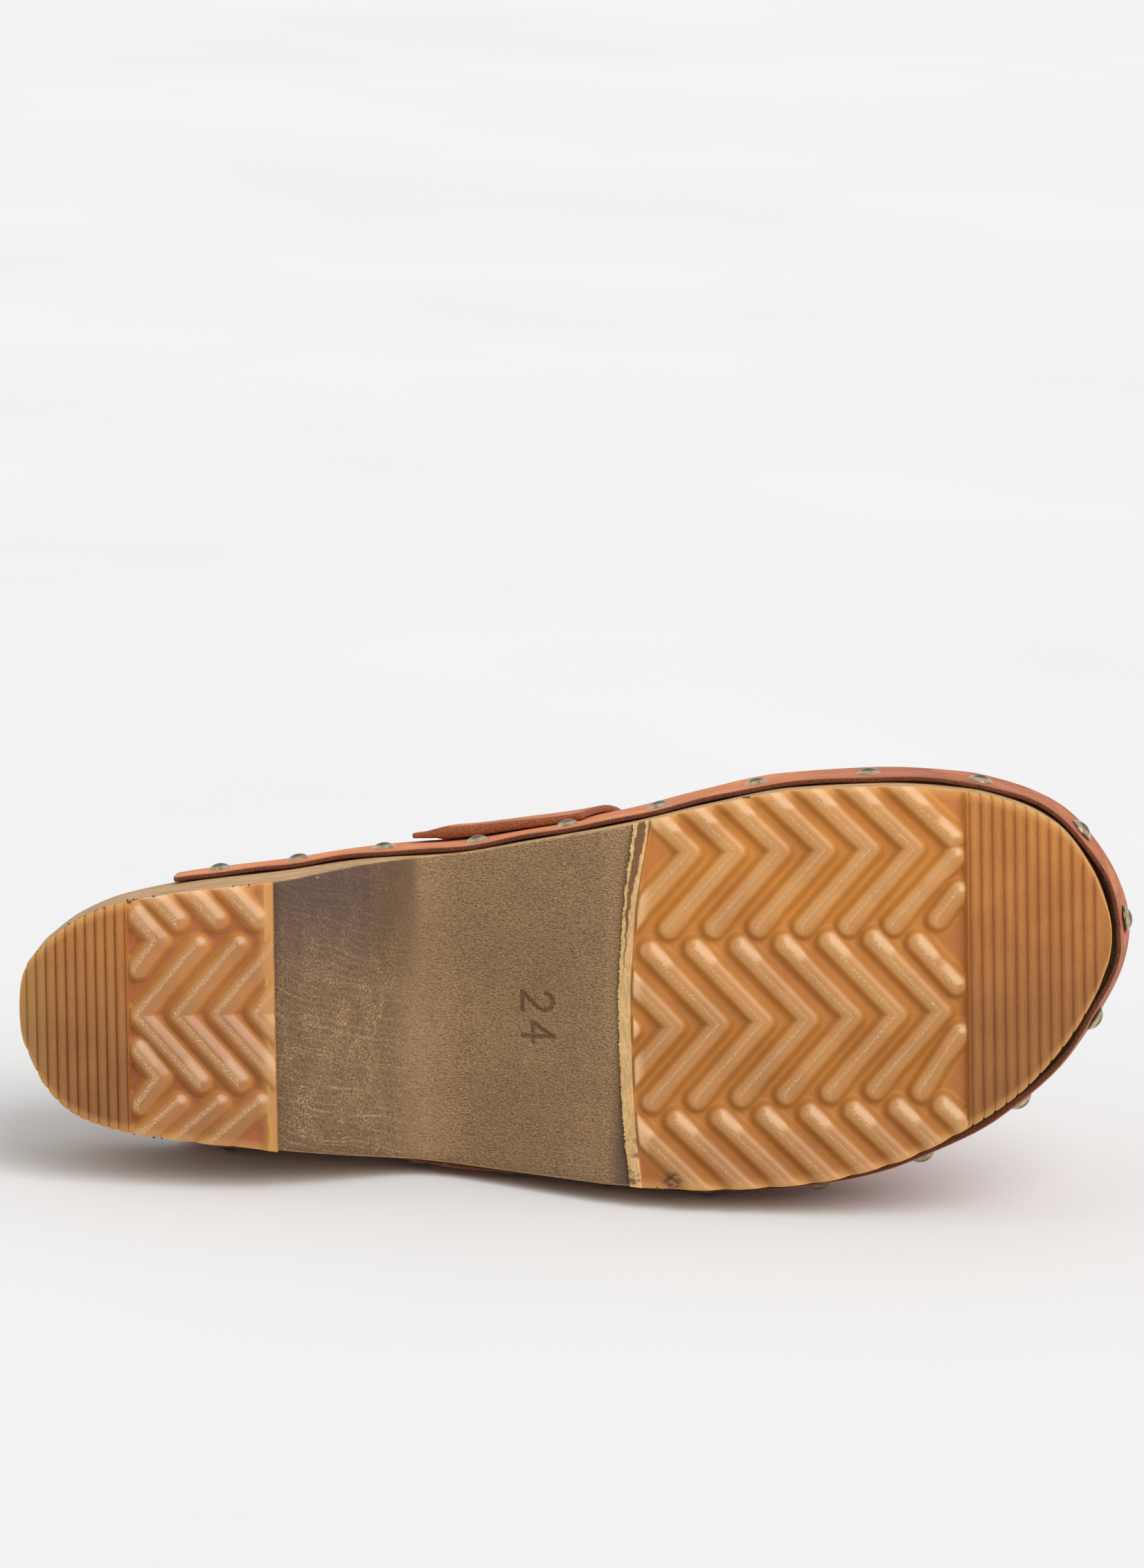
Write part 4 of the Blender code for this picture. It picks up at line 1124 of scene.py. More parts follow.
def thick_sheet(name, grid, thickness, closed_end, above_edge):
    """A sheet of leather, as thick as given at each point, with rounded and slightly frayed cut edges."""
    half = thickness[..., None] / 2.0
    normals = sheet_normals(grid, closed_end)
    middle = grid + normals * half
    round_angles = np.radians((30.0, 60.0, 90.0, 120.0, 150.0))
    steps = len(round_angles)
    closing_angles = round_angles[:3]
    closing_steps = len(closing_angles)
    fray = FRAY * wave_noise(middle[..., 0], middle[..., 1], middle[..., 2], FRAY_SIZE)
    reach = EDGE_BULGE * half + fray[..., None]

    def rim(column, beside):
        out = unit(grid[:, column] - grid[:, beside])
        points = []
        for angle in round_angles:
            lift = normals[:, column] * half[:, column] * math.cos(angle)
            points.append(middle[:, column] + lift + out * reach[:, column] * math.sin(angle))
        return np.stack(points, axis=1)

    def around(values):
        first = np.repeat(values[:, :1], steps, axis=1)
        last = np.repeat(values[:, -1:], steps, axis=1)
        return np.concatenate([values, last, values[:, ::-1], first], axis=1)

    outer = middle + normals * half
    rings = np.concatenate([outer, rim(-1, -2), grid[:, ::-1], rim(0, 1)[:, ::-1]], axis=1)
    spread = around(middle)
    ring_reach = around(reach)
    heights = around(above_edge)
    count = grid.shape[1]
    outside = np.concatenate([np.ones(count), np.full(steps, 0.5), np.zeros(count), np.full(steps, 0.5)])
    cut = np.concatenate([np.zeros(count), np.ones(steps), np.zeros(count), np.ones(steps)])

    def end_rows(row, beside):
        out = unit(spread[row] - spread[beside])
        made = []
        for angle in closing_angles:
            closing = spread[row] + (rings[row] - spread[row]) * math.cos(angle)
            made.append(closing + out * ring_reach[row] * math.sin(angle))
        return made

    rows = [*reversed(end_rows(0, 1)), *rings]
    end_cut = [np.ones(len(cut))] * closing_steps
    cut_rows = end_cut + [cut] * len(rings)
    height_rows = [heights[0]] * closing_steps + list(heights)
    if not closed_end:
        rows += end_rows(-1, -2)
        cut_rows += end_cut
        height_rows += [heights[-1]] * closing_steps
    attributes = {
        "outside": np.repeat(outside[None], len(rows), axis=0),
        "cut_edge": np.array(cut_rows),
        "above_edge": np.array(height_rows),
    }
    return ring_piece(name, np.array(rows), attributes, weld=0.02, sharp_degrees=80.0)


def make_upper():
    """The leather upper, from the lower edge of one side over the instep to the other."""
    fronts = np.linspace(0.0, 1.0, FRONT_POINTS)[:, None]
    skirt = np.linspace(2.0, 1.0, SKIRT_POINTS)[:-1]
    arch = np.linspace(1.0, 0.0, ARCH_POINTS)
    places = np.concatenate([skirt, arch])[None, :]
    on_arch = SKIRT_HEIGHT + (1.0 - places) * INSTEP_SPAN
    above = np.where(places > 1.0, (2.0 - places) * SKIRT_HEIGHT, on_arch)
    above = np.repeat(above, len(fronts), axis=0)
    halves = []
    for side in (INNER, OUTER):
        lift = scallops(fronts, side, places) + folds(fronts, side, places)
        half = (upper_point(fronts, side, places), lift, above)
        halves.append(half if side == INNER else [values[:, ::-1][:, 1:] for values in half])
    grid, lift, above_edge = [np.concatenate(both, axis=1) for both in zip(*halves)]
    grid = grid + sheet_normals(grid, True) * lift[..., None]
    thickness = LEATHER * blend(EDGE_THINNING, 1.0, smooth_step(above_edge, 0.0, EDGE_THINNING_HEIGHT))
    return thick_sheet("leather_upper", grid, thickness, True, above_edge)


# Strap


def front_at(x, side, place):
    """Share of the upper's length at which a place on it reaches a distance along the shoe."""
    low = np.zeros(np.broadcast(x, place).shape)
    high = np.ones(low.shape)
    for _ in range(30):
        middle = (low + high) / 2.0
        below = upper_point(middle, side, place)[..., 0] < x
        low = np.where(below, middle, low)
        high = np.where(below, high, middle)
    return (low + high) / 2.0


def make_strap():
    """The broad band across the instep, with free ends above the nails."""
    along = np.linspace(0.0, 1.0, STRAP_POINTS_ALONG)[:, None]
    shares = np.linspace(0.0, 1.0, STRAP_POINTS_ACROSS)
    halves = []
    for side in (INNER, OUTER):
        places = np.maximum(STRAP_END[side] * shares, 0.001)[None, :]
        x = blend(STRAP_BACK(places), STRAP_FRONT(places), along)
        front = front_at(x, side, places)
        normal = upper_normal(front, side, places)
        lift = STRAP_LIFT * (1.0 - along) ** 2 * places ** 4 if side == INNER else 0.0 * x
        grid = upper_point(front, side, places) + normal * (LEATHER + GAP + lift)[..., None]
        halves.append(grid[:, ::-1] if side == INNER else grid[:, 1:])
    grid = np.concatenate(halves, axis=1)
    thinning = blend(1.0, STRAP_FRONT_THINNING, smooth_step(along, STRAP_BEVEL_SHARE, 1.0))
    thinning = thinning * blend(STRAP_BEVEL, 1.0, smooth_step(along, 0.0, STRAP_BEVEL_SHARE))
    outward = smooth_step(np.linspace(0.0, 1.0, grid.shape[1]), *STRAP_FULL_FROM)
    thickness = STRAP_THICKNESS * blend(thinning, 1.0, outward)
    above_edge = np.full(grid.shape[:2], STRAP_ABOVE_EDGE)
    return thick_sheet("instep_strap", grid, thickness, False, above_edge)


# Nail heads


def make_nail_head(name, seat, turned):
    """A domed head turned from its profile, with a thin rolled rim, set down on the leather."""
    radius = STUD_DIAMETER / 2.0
    sphere = (radius ** 2 + STUD_HEIGHT ** 2) / (2.0 * STUD_HEIGHT)
    half_angle = math.asin(radius / sphere)
    angles = np.linspace(0.02, half_angle, STUD_RINGS)
    profile = [(sphere * math.sin(a), sphere * math.cos(a) - sphere + STUD_HEIGHT) for a in angles]
    profile += [(radius + 0.05, -0.12), (radius - 0.1, -GAP), (0.05, -GAP)]
    turns = np.arange(STUD_SEGMENTS) * 2.0 * math.pi / STUD_SEGMENTS
    rings = np.array([[(r * math.cos(t), r * math.sin(t), z) for t in turns] for r, z in profile])
    maker = ring_skin(rings, {"out_share": np.hypot(rings[..., 0], rings[..., 1]) / radius}, True)
    maker.transform(Matrix.Translation(seat) @ turned)
    return laid_piece(name, maker, 60.0)


def make_nail_heads():
    """Nail heads along the lower edge of the upper."""
    made = []
    place = 2.0 - STUD_ABOVE_EDGE / SKIRT_HEIGHT
    for number, stud in enumerate(named_rows(STUD_ROWS, STUD_COLUMNS), start=1):
        front = float(front_of(stud["x"]))
        outward = Vector(upper_normal(front, stud["side"], place))
        seat = Vector(upper_point(front, stud["side"], place)) + outward * (LEATHER + GAP - STUD_SINK)
        turned = outward.to_track_quat("Z", "X").to_matrix().to_4x4()
        made.append(make_nail_head(f"nail_head_{number:02d}", seat, turned))
    return made


# Glue crumbs


def make_glue_crumbs():
    """Dark crumbs of glue and dirt pressed against the pads' edges, as one piece."""
    random = np.random.default_rng(CRUMB_SEED)
    maker = bmesh.new()
    for crumb in named_rows(CRUMB_ROWS, CRUMB_COLUMNS):
        for _ in range(crumb["count"]):
            turn = turn_of(random.uniform(crumb["from_x"], crumb["to_x"]))
            x, y = outline(turn, crumb["side"], random.uniform(*CRUMB_OUTWARD))
            z = float(spring(x)) + PAD_THICKNESS * random.uniform(*CRUMB_HEIGHT_SHARE)
            radius = crumb["size"] * random.uniform(*CRUMB_SIZE_SHARE) / 2.0
            longer = random.uniform(*CRUMB_STRETCH)
            wider = random.uniform(*CRUMB_WIDENING)
            stretch = Matrix.Diagonal((longer, wider, 1.0, 1.0))
            middle = Vector((float(x), float(y), z))
            turned = Matrix.Rotation(random.uniform(0.0, 3.1), 4, "Z")
            lump = Matrix.Translation(middle) @ turned @ stretch
            made = bmesh.ops.create_icosphere(maker, subdivisions=2, radius=radius, matrix=lump)
            for vertex in made["verts"]:
                lumpy = CRUMB_LUMPS * noise.noise(vertex.co / CRUMB_LUMP_SIZE)
                vertex.co += (vertex.co - middle) * lumpy
    return laid_piece("glue_crumbs", maker, 80.0)


# Shader helpers


def add(tree, kind, inputs=None, **settings):
    """Add a node; each input is a value or a socket to link from."""
    node = tree.nodes.new(kind)
    for name, value in settings.items():
        setattr(node, name, value)
    for socket, value in (inputs or {}).items():
        if isinstance(value, bpy.types.NodeSocket):
            tree.links.new(value, node.inputs[socket])
        else:
            node.inputs[socket].default_value = value
    return node


def colour(red, green, blue):
    """A colour given in display values from 0 to 255, as a shader takes it."""
    display = [channel / 255.0 for channel in (red, green, blue)]
    linear = [c / 12.92 if c <= 0.04045 else ((c + 0.055) / 1.055) ** 2.4 for c in display]
    return (*linear, 1.0)


def paints(look):
    """The colours among the values of a look, as a shader takes them."""
    return {name: colour(*value) for name, value in look.items() if isinstance(value, tuple)}


def calculate(tree, operation, first, second=0.0, third=0.0):
    """One step of arithmetic."""
    return add(tree, "ShaderNodeMath", {0: first, 1: second, 2: third}, operation=operation).outputs[0]


def times(tree, first, second):
    """Product of two numbers."""
    return calculate(tree, "MULTIPLY", first, second)


def times_plus(tree, first, second, added):
    """Product of two numbers, and a third added."""
    return calculate(tree, "MULTIPLY_ADD", first, second, added)


def larger(tree, first, second):
    """The larger of two numbers."""
    return calculate(tree, "MAXIMUM", first, second)


def distance_from(tree, value, middle):
    """How far a number is from a middle."""
    return calculate(tree, "ABSOLUTE", calculate(tree, "SUBTRACT", value, middle))


def remap(tree, value, low, high, to_low=0.0, to_high=1.0):
    """Soft change of a value from one range to another."""
    inputs = {"Value": value, "From Min": low, "From Max": high, "To Min": to_low, "To Max": to_high}
    return add(tree, "ShaderNodeMapRange", inputs, interpolation_type="SMOOTHSTEP").outputs[0]


def mix(tree, share, first, second, blend_type="MIX"):
    """Mix two colours."""
    inputs = {0: share, 6: first, 7: second}
    return add(tree, "ShaderNodeMix", inputs, data_type="RGBA", blend_type=blend_type).outputs[2]


def tint(tree, base, mask, strength, over):
    """Lay a colour over another where a mask is, at a strength."""
    return mix(tree, times(tree, mask, strength), base, over)


def shade(tree, base, by):
    """Darken a colour by another."""
    return mix(tree, 1.0, base, by, "MULTIPLY")


def mix_values(tree, share, first, second):
    """Mix two numbers."""
    return add(tree, "ShaderNodeMix", {0: share, 2: first, 3: second}, data_type="FLOAT").outputs[0]


def attribute(tree, name):
    """A number stored on the mesh."""
    return add(tree, "ShaderNodeAttribute", attribute_name=name).outputs["Fac"]


def place_on_shoe(tree):
    """Place in the shoe's own frame, in millimetres."""
    return add(tree, "ShaderNodeAttribute", attribute_name="shoe_place").outputs["Vector"]


def vector_step(tree, operation, inputs):
    """One step of arithmetic with places."""
    return add(tree, "ShaderNodeVectorMath", inputs, operation=operation).outputs[0]


def stretched(tree, place, x, y, z):
    """Place divided by a feature size along each axis."""
    return vector_step(tree, "MULTIPLY", {0: place, 1: (1.0 / x, 1.0 / y, 1.0 / z)})


def turned_place(tree, place, degrees):
    """Place turned in the sole's plane."""
    inputs = {"Vector": place, "Angle": math.radians(degrees)}
    return add(tree, "ShaderNodeVectorRotate", inputs, rotation_type="Z_AXIS").outputs[0]


def axes(tree, place):
    """The three coordinates of a place."""
    return add(tree, "ShaderNodeSeparateXYZ", {0: place}).outputs


def noise_value(tree, place, detail=3.0, roughness=0.5, distortion=0.0):
    """Noise with features about one unit across."""
    inputs = {"Vector": place, "Scale": 1.0, "Detail": detail, "Roughness": roughness}
    inputs["Distortion"] = distortion
    return add(tree, "ShaderNodeTexNoise", inputs).outputs[0]


def bump(tree, height, distance):
    """Surface direction from a height in millimetres."""
    inputs = {"Height": height, "Distance": distance * MILLIMETRE, "Strength": 1.0}
    return add(tree, "ShaderNodeBump", inputs).outputs[0]


def new_material(name):
    """A material, its nodes and its shader."""
    made = bpy.data.materials.new(name)
    made.use_nodes = True
    return made, made.node_tree, made.node_tree.nodes["Principled BSDF"]


def feed(tree, shader, **sources):
    """Link values to the shader's inputs, whose names are given with underscores for spaces."""
    for name, source in sources.items():
        tree.links.new(source, shader.inputs[name.replace("_", " ")])


def settle(shader, **values):
    """Set constant values on the shader's inputs, whose names are given with underscores for spaces."""
    for name, value in values.items():
        shader.inputs[name.replace("_", " ")].default_value = value


# Shared effects


def new_group(name, inputs, output, output_kind):
    """A shader node group with named sockets."""
    group = bpy.data.node_groups.new(name, "ShaderNodeTree")
    for socket, kind in inputs.items():
        group.interface.new_socket(socket, in_out="INPUT", socket_type=kind)
    group.interface.new_socket(output, in_out="OUTPUT", socket_type=output_kind)
    return group, group.nodes.new("NodeGroupInput").outputs, group.nodes.new("NodeGroupOutput").inputs[0]


def effect(tree, group, inputs):
    """A shared effect placed in a material with its own values."""
    return add(tree, "ShaderNodeGroup", inputs, node_tree=group).outputs[0]


def make_mottle_group():
    """Large soft patches between two colours."""
    inputs = {"Place": "NodeSocketVector", "Size": "NodeSocketFloat", "Light": "NodeSocketColor",
              "Dark": "NodeSocketColor"}
    group, given, result = new_group("mottle", inputs, "Color", "NodeSocketColor")
    scale = calculate(group, "DIVIDE", 1.0, given["Size"])
    place = vector_step(group, "SCALE", {0: given["Place"], "Scale": scale})
    patches = remap(group, noise_value(group, place, 3.0, 0.55), 0.32, 0.68)
    group.links.new(mix(group, patches, given["Dark"], given["Light"]), result)
    return group


def make_speck_group():
    """Scattered specks: a mask of small dots, only in some cells."""
    inputs = {"Place": "NodeSocketVector", "Spacing": "NodeSocketFloat", "Radius": "NodeSocketFloat",
              "Share": "NodeSocketFloat"}
    group, given, result = new_group("specks", inputs, "Mask", "NodeSocketFloat")
    scale = calculate(group, "DIVIDE", 1.0, given["Spacing"])
    cells = add(group, "ShaderNodeTexVoronoi", {"Vector": given["Place"], "Scale": scale})
    chosen = add(group, "ShaderNodeSeparateColor", {0: cells.outputs["Color"]}).outputs[0]
    size = calculate(group, "DIVIDE", given["Radius"], given["Spacing"])
    uneven = times(group, size, chosen)
    dot = remap(group, cells.outputs["Distance"], uneven, times(group, uneven, 0.4))
    left_out = calculate(group, "SUBTRACT", 1.0, given["Share"])
    group.links.new(times(group, dot, calculate(group, "GREATER_THAN", chosen, left_out)), result)
    return group


def make_grain_group():
    """Fine uneven grain as a height: a coarse and a fine layer."""
    inputs = {"Place": "NodeSocketVector", "Size": "NodeSocketFloat", "Fine": "NodeSocketFloat"}
    group, given, result = new_group("grain", inputs, "Height", "NodeSocketFloat")
    scale = calculate(group, "DIVIDE", 1.0, given["Size"])
    coarse_place = vector_step(group, "SCALE", {0: given["Place"], "Scale": scale})
    fine_place = vector_step(group, "SCALE", {0: given["Place"], "Scale": times(group, scale, 4.3)})
    coarse = noise_value(group, coarse_place, 2.0)
    fine = noise_value(group, fine_place, 4.0, 0.6)
    group.links.new(times_plus(group, fine, given["Fine"], coarse), result)
    return group


MOTTLE = make_mottle_group()
SPECKS = make_speck_group()
GRAIN = make_grain_group()


def mottled(tree, place, size, light, dark):
    """Large soft patches of two colours."""
    return effect(tree, MOTTLE, {"Place": place, "Size": size, "Light": light, "Dark": dark})


def specks(tree, place, spacing, radius, share):
    """Mask of scattered specks, in a share of their cells."""
    return effect(tree, SPECKS, {"Place": place, "Spacing": spacing, "Radius": radius, "Share": share})


def grain_height(tree, place, size, fine):
    """Height of a fine uneven grain."""
    return effect(tree, GRAIN, {"Place": place, "Size": size, "Fine": fine})


# Materials


def round_mark(tree, x, y, middle, radius):
    """Mask of a round spot on the sole."""
    off_x = calculate(tree, "SUBTRACT", x, middle[0])
    off_y = calculate(tree, "SUBTRACT", y, middle[1])
    squares = times_plus(tree, off_x, off_x, times(tree, off_y, off_y))
    return remap(tree, calculate(tree, "SQRT", squares), radius, 0.5 * radius)


def ring_lines(tree, across, spacing, width):
    """Thin lines at even spacing across a direction."""
    share = calculate(tree, "FRACT", calculate(tree, "DIVIDE", across, spacing))
    return remap(tree, distance_from(tree, share, 0.5), width / spacing, 0.0)


def breast_marks(tree, place, x, y, fine):
    """Pale dotted growth rings of the heel's breast, and pale glints that are painted highlights."""
    warp = noise_value(tree, stretched(tree, place, 14.0, 14.0, 30.0), 3.0)
    across = times_plus(tree, warp, RING_WARP, times_plus(tree, x, -RING_LEAN, y))
    faint = noise_value(tree, stretched(tree, place, 5.0, 3.0, 8.0), 3.0)
    dots = times(tree, remap(tree, fine, 0.42, 0.6), remap(tree, faint, 0.35, 0.6, 0.25, 1.0))
    broad_rings = ring_lines(tree, across, *BROAD_RING)
    narrow_rings = times(tree, ring_lines(tree, across, *NARROW_RING), 0.65)
    lines = larger(tree, broad_rings, narrow_rings)
    # Painted highlights: glints on the breast, in clusters
    clusters = remap(tree, noise_value(tree, stretched(tree, place, 4.0, 12.0, 12.0), 2.0), 0.44, 0.62)
    glints = times(tree, remap(tree, fine, 0.53, 0.66), clusters)
    return larger(tree, times(tree, lines, dots), glints)


def underside_colour(tree, place, x, y, texture, on_breast):
    """Grey-brown underside of the wood: growth rings and painted glints on the heel's breast, painted shade
    over the breast, a valley with a pale band of painted light, painted shadow beside the forefoot pad,
    painted shade in the stamped cut, stains and flecks.
    """
    paint = paints(WOOD_LOOK)
    darkest = mix_values(tree, on_breast, 0.37, 0.24)
    lightest = mix_values(tree, on_breast, 0.63, 0.76)
    below = mix(tree, remap(tree, texture, darkest, lightest), paint["pore"], paint["sanded"])
    below = shade(tree, below, mottled(tree, place, 24.0, paint["clean"], paint["clouded"]))
    # Painted shade: the colour of the heel's breast is darkened to stand in for shade on it
    below = shade(tree, below, mix(tree, on_breast, paint["white"], paint["breast"]))

    fine = noise_value(tree, stretched(tree, place, 0.42, 0.3, 0.6), 2.0)
    rings_and_glints = times(tree, breast_marks(tree, place, x, y, fine), on_breast)
    below = tint(tree, below, rings_and_glints, 0.85, paint["ring"])

    inward = remap(tree, y, *STAIN_SIDE, 0.0, 0.75)
    stain = times(tree, remap(tree, x, *reversed(STAIN_EDGE)), inward)
    below = mix(tree, stain, below, paint["stain"])
    damp = times(tree, remap(tree, x, *STAIN_EDGE), remap(tree, x, *DAMP_FADE))
    below = mix(tree, times(tree, damp, inward), below, paint["damp"])
    # Painted shadow of the forefoot pad on the wood beside it
    pad_shadow = times(tree, remap(tree, x, *PAD_SHADOW), remap(tree, y, *PAD_SHADOW_SIDE, 0.0, 0.65))
    below = mix(tree, pad_shadow, below, paint["pad_shadow"])
    # Painted light: a pale band, with a ragged edge, across the top of the arch's valley
    ragged_x = times_plus(tree, fine, 5.0, x)
    valley_light = times(tree, remap(tree, ragged_x, *VALLEY_START), remap(tree, ragged_x, *VALLEY_END))
    below = tint(tree, below, valley_light, 0.2, paint["valley_light"])
    for fleck in named_rows(FLECK_ROWS, FLECK_COLUMNS):
        spot = round_mark(tree, x, y, (fleck["x"], fleck["y"]), fleck["radius"])
        below = tint(tree, below, spot, 0.7, paint["fleck"])
    below = tint(tree, below, round_mark(tree, x, y, SMEAR_PLACE, SMEAR_RADIUS), 0.7, paint["smear"])
    # Painted shade: the stamped cut is darkened
    return tint(tree, below, attribute(tree, "stamped"), 0.5, paint["stamped"])


def make_wood_material():
    """Sanded wood: a rough grey-brown underside, long grain on the walls and the footbed."""
    paint = paints(WOOD_LOOK)
    made, tree, shader = new_material("sanded_wood")
    place = place_on_shoe(tree)
    x, y, z = axes(tree, place)
    underside = attribute(tree, "underside")
    on_breast = remap(tree, x, *BREAST_FADE)
    hatch_place = stretched(tree, turned_place(tree, place, HATCH_LEAN_DEGREES), 0.17, 0.6, 1.5)
    fleck_place = stretched(tree, turned_place(tree, place, FLECK_LEAN_DEGREES), 0.62, 0.3, 0.8)
    hatch = noise_value(tree, hatch_place, 2.0, 0.5)
    flecks = noise_value(tree, fleck_place, 3.0, 0.6, 0.4)
    # Painted light and shade: each pore gets a lit side and a shaded side from a shifted copy of the
    # flecks; this texture colours the underside and also sets its bumps
    lit_place = vector_step(tree, "ADD", {0: fleck_place, 1: PORE_LIT_OFFSET})
    lit_side = calculate(tree, "SUBTRACT", noise_value(tree, lit_place, 3.0, 0.6, 0.4), flecks)
    pores = times_plus(tree, lit_side, 0.8, times_plus(tree, flecks, 0.5, 0.25))
    texture = mix_values(tree, on_breast, pores, hatch)
    below = underside_colour(tree, place, x, y, texture, on_breast)

    long_grain = noise_value(tree, stretched(tree, place, 26.0, 1.6, 1.1), 4.0, 0.6, 0.8)
    fine_grain = noise_value(tree, stretched(tree, place, 7.0, 0.35, 0.3), 3.0)
    bands = remap(tree, long_grain, 0.34, 0.66)
    wall = mix(tree, bands, paint["wall_dark"], paint["wall_light"])
    wall = mix(tree, remap(tree, fine_grain, 0.52, 0.72, 0.0, 0.5), wall, paint["wall_line"])
    glue = times(tree, remap(tree, z, *GLUE_HEIGHT), remap(tree, x, *GLUE_FADE))
    wall = tint(tree, wall, glue, 0.4, paint["glue"])
    above = mix(tree, bands, paint["footbed_dark"], paint["footbed_light"])
    wall = mix(tree, attribute(tree, "footbed"), wall, above)

    polish = mix_values(tree, underside, 0.52, 0.72)
    grain = grain_height(tree, place, 0.8, 0.5)
    height = mix_values(tree, underside, fine_grain, times_plus(tree, grain, 0.5, texture))
    feed(tree, shader, Base_Color=mix(tree, underside, wall, below),
         Roughness=times_plus(tree, flecks, 0.16, polish), Normal=bump(tree, height, 0.24))
    settle(shader, Specular_IOR_Level=0.35)
    return made


def skive_colour(tree, place, y, past_skive, fibres):
    """Cream cut face of the forefoot pad's back edge: glue at its inner end, spots at its outer one."""
    paint = paints(SKIVE_LOOK)
    cream = mix(tree, remap(tree, fibres, 0.35, 0.65), paint["dark"], paint["light"])
    waver = noise_value(tree, stretched(tree, place, 5.0, 3.0, 5.0), 3.0, 0.6)
    middle = times_plus(tree, waver, 1.8, calculate(tree, "ADD", past_skive, 0.9))
    half = remap(tree, y, -10.0, -42.0, 0.25, 1.1)
    off = calculate(tree, "SUBTRACT", calculate(tree, "ABSOLUTE", middle), half)
    streak = times(tree, remap(tree, off, 0.05, -0.3), remap(tree, y, -4.0, -14.0, 0.0, 0.85))
    spots = times(tree, remap(tree, waver, 0.48, 0.62), remap(tree, y, 22.0, 38.0, 0.0, 0.8))
    return mix(tree, larger(tree, streak, spots), cream, paint["glue"])


def rib_colour(tree, place, y, paint, grains):
    """Ribs with a paler ridge, fine streaks along them, pale specks of painted sparkle, and grooves
    darkened brown as painted shade, darker towards the outer side.
    """
    streaks = noise_value(tree, stretched(tree, place, 0.3, 9.0, 9.0), 2.0)
    off_ridge = distance_from(tree, attribute(tree, "rib_share"), 0.5)
    ridge = remap(tree, times_plus(tree, streaks, -0.4, off_ridge), 0.24, -0.16)
    ribs = mix(tree, ridge, paint["rib"], paint["ridge"])
    # Painted sparkle: pale specks on the ribs
    ribs = tint(tree, ribs, grains, 0.14, paint["rib_glint"])
    # Painted shade: the grooves darkened brown
    ribs = tint(tree, ribs, attribute(tree, "groove"), 0.3, paint["rib_groove_shade"])
    return shade(tree, ribs, mix(tree, remap(tree, y, -36.0, 16.0), paint["white"], paint["rib_shade"]))


def lug_marks(tree, body, lug_side, relief, grains, look, paint):
    """Lay a beaded band behind each crest, with pale painted sparkle, and a thin line along it; also
    returns the beads and the line.
    """
    beading = look["beading"]
    band = look["band"]
    raised = remap(tree, relief, 0.5, 0.75)
    behind_crest = times(tree, remap(tree, lug_side, 0.06, -0.12), raised)
    on_band = times(tree, remap(tree, lug_side, -band - 0.3, -band + 0.3), behind_crest)
    # Painted sparkle: the band's pale tint and its pale beads
    body = tint(tree, body, on_band, 0.35 * beading, paint["band_glint"])
    beads = times(tree, grains, on_band)
    body = tint(tree, body, beads, 0.5 * beading, paint["bead_glint"])
    line = times(tree, remap(tree, distance_from(tree, lug_side, 0.12), 0.2, 0.03), raised)
    return tint(tree, body, line, 0.18 * beading, paint["crest_line"]), beads, line


def rubber_dirt(tree, body, place, x, y, paint):
    """Lay dirt over the rubber: a patch at the forefoot pad's outer back corner and scattered specks."""
    patchy = noise_value(tree, stretched(tree, place, 1.5, 1.1, 2.0), 4.0, 0.65)
    corner = round_mark(tree, x, y, DIRT_PLACE, DIRT_RADIUS)
    body = mix(tree, times(tree, corner, remap(tree, patchy, 0.4, 0.56, 0.1, 0.85)), body, paint["dirt"])
    grime = specks(tree, stretched(tree, place, 1.0, 1.0, 60.0), 4.5, 0.36, 0.3)
    return tint(tree, body, grime, 0.6, paint["grime"])


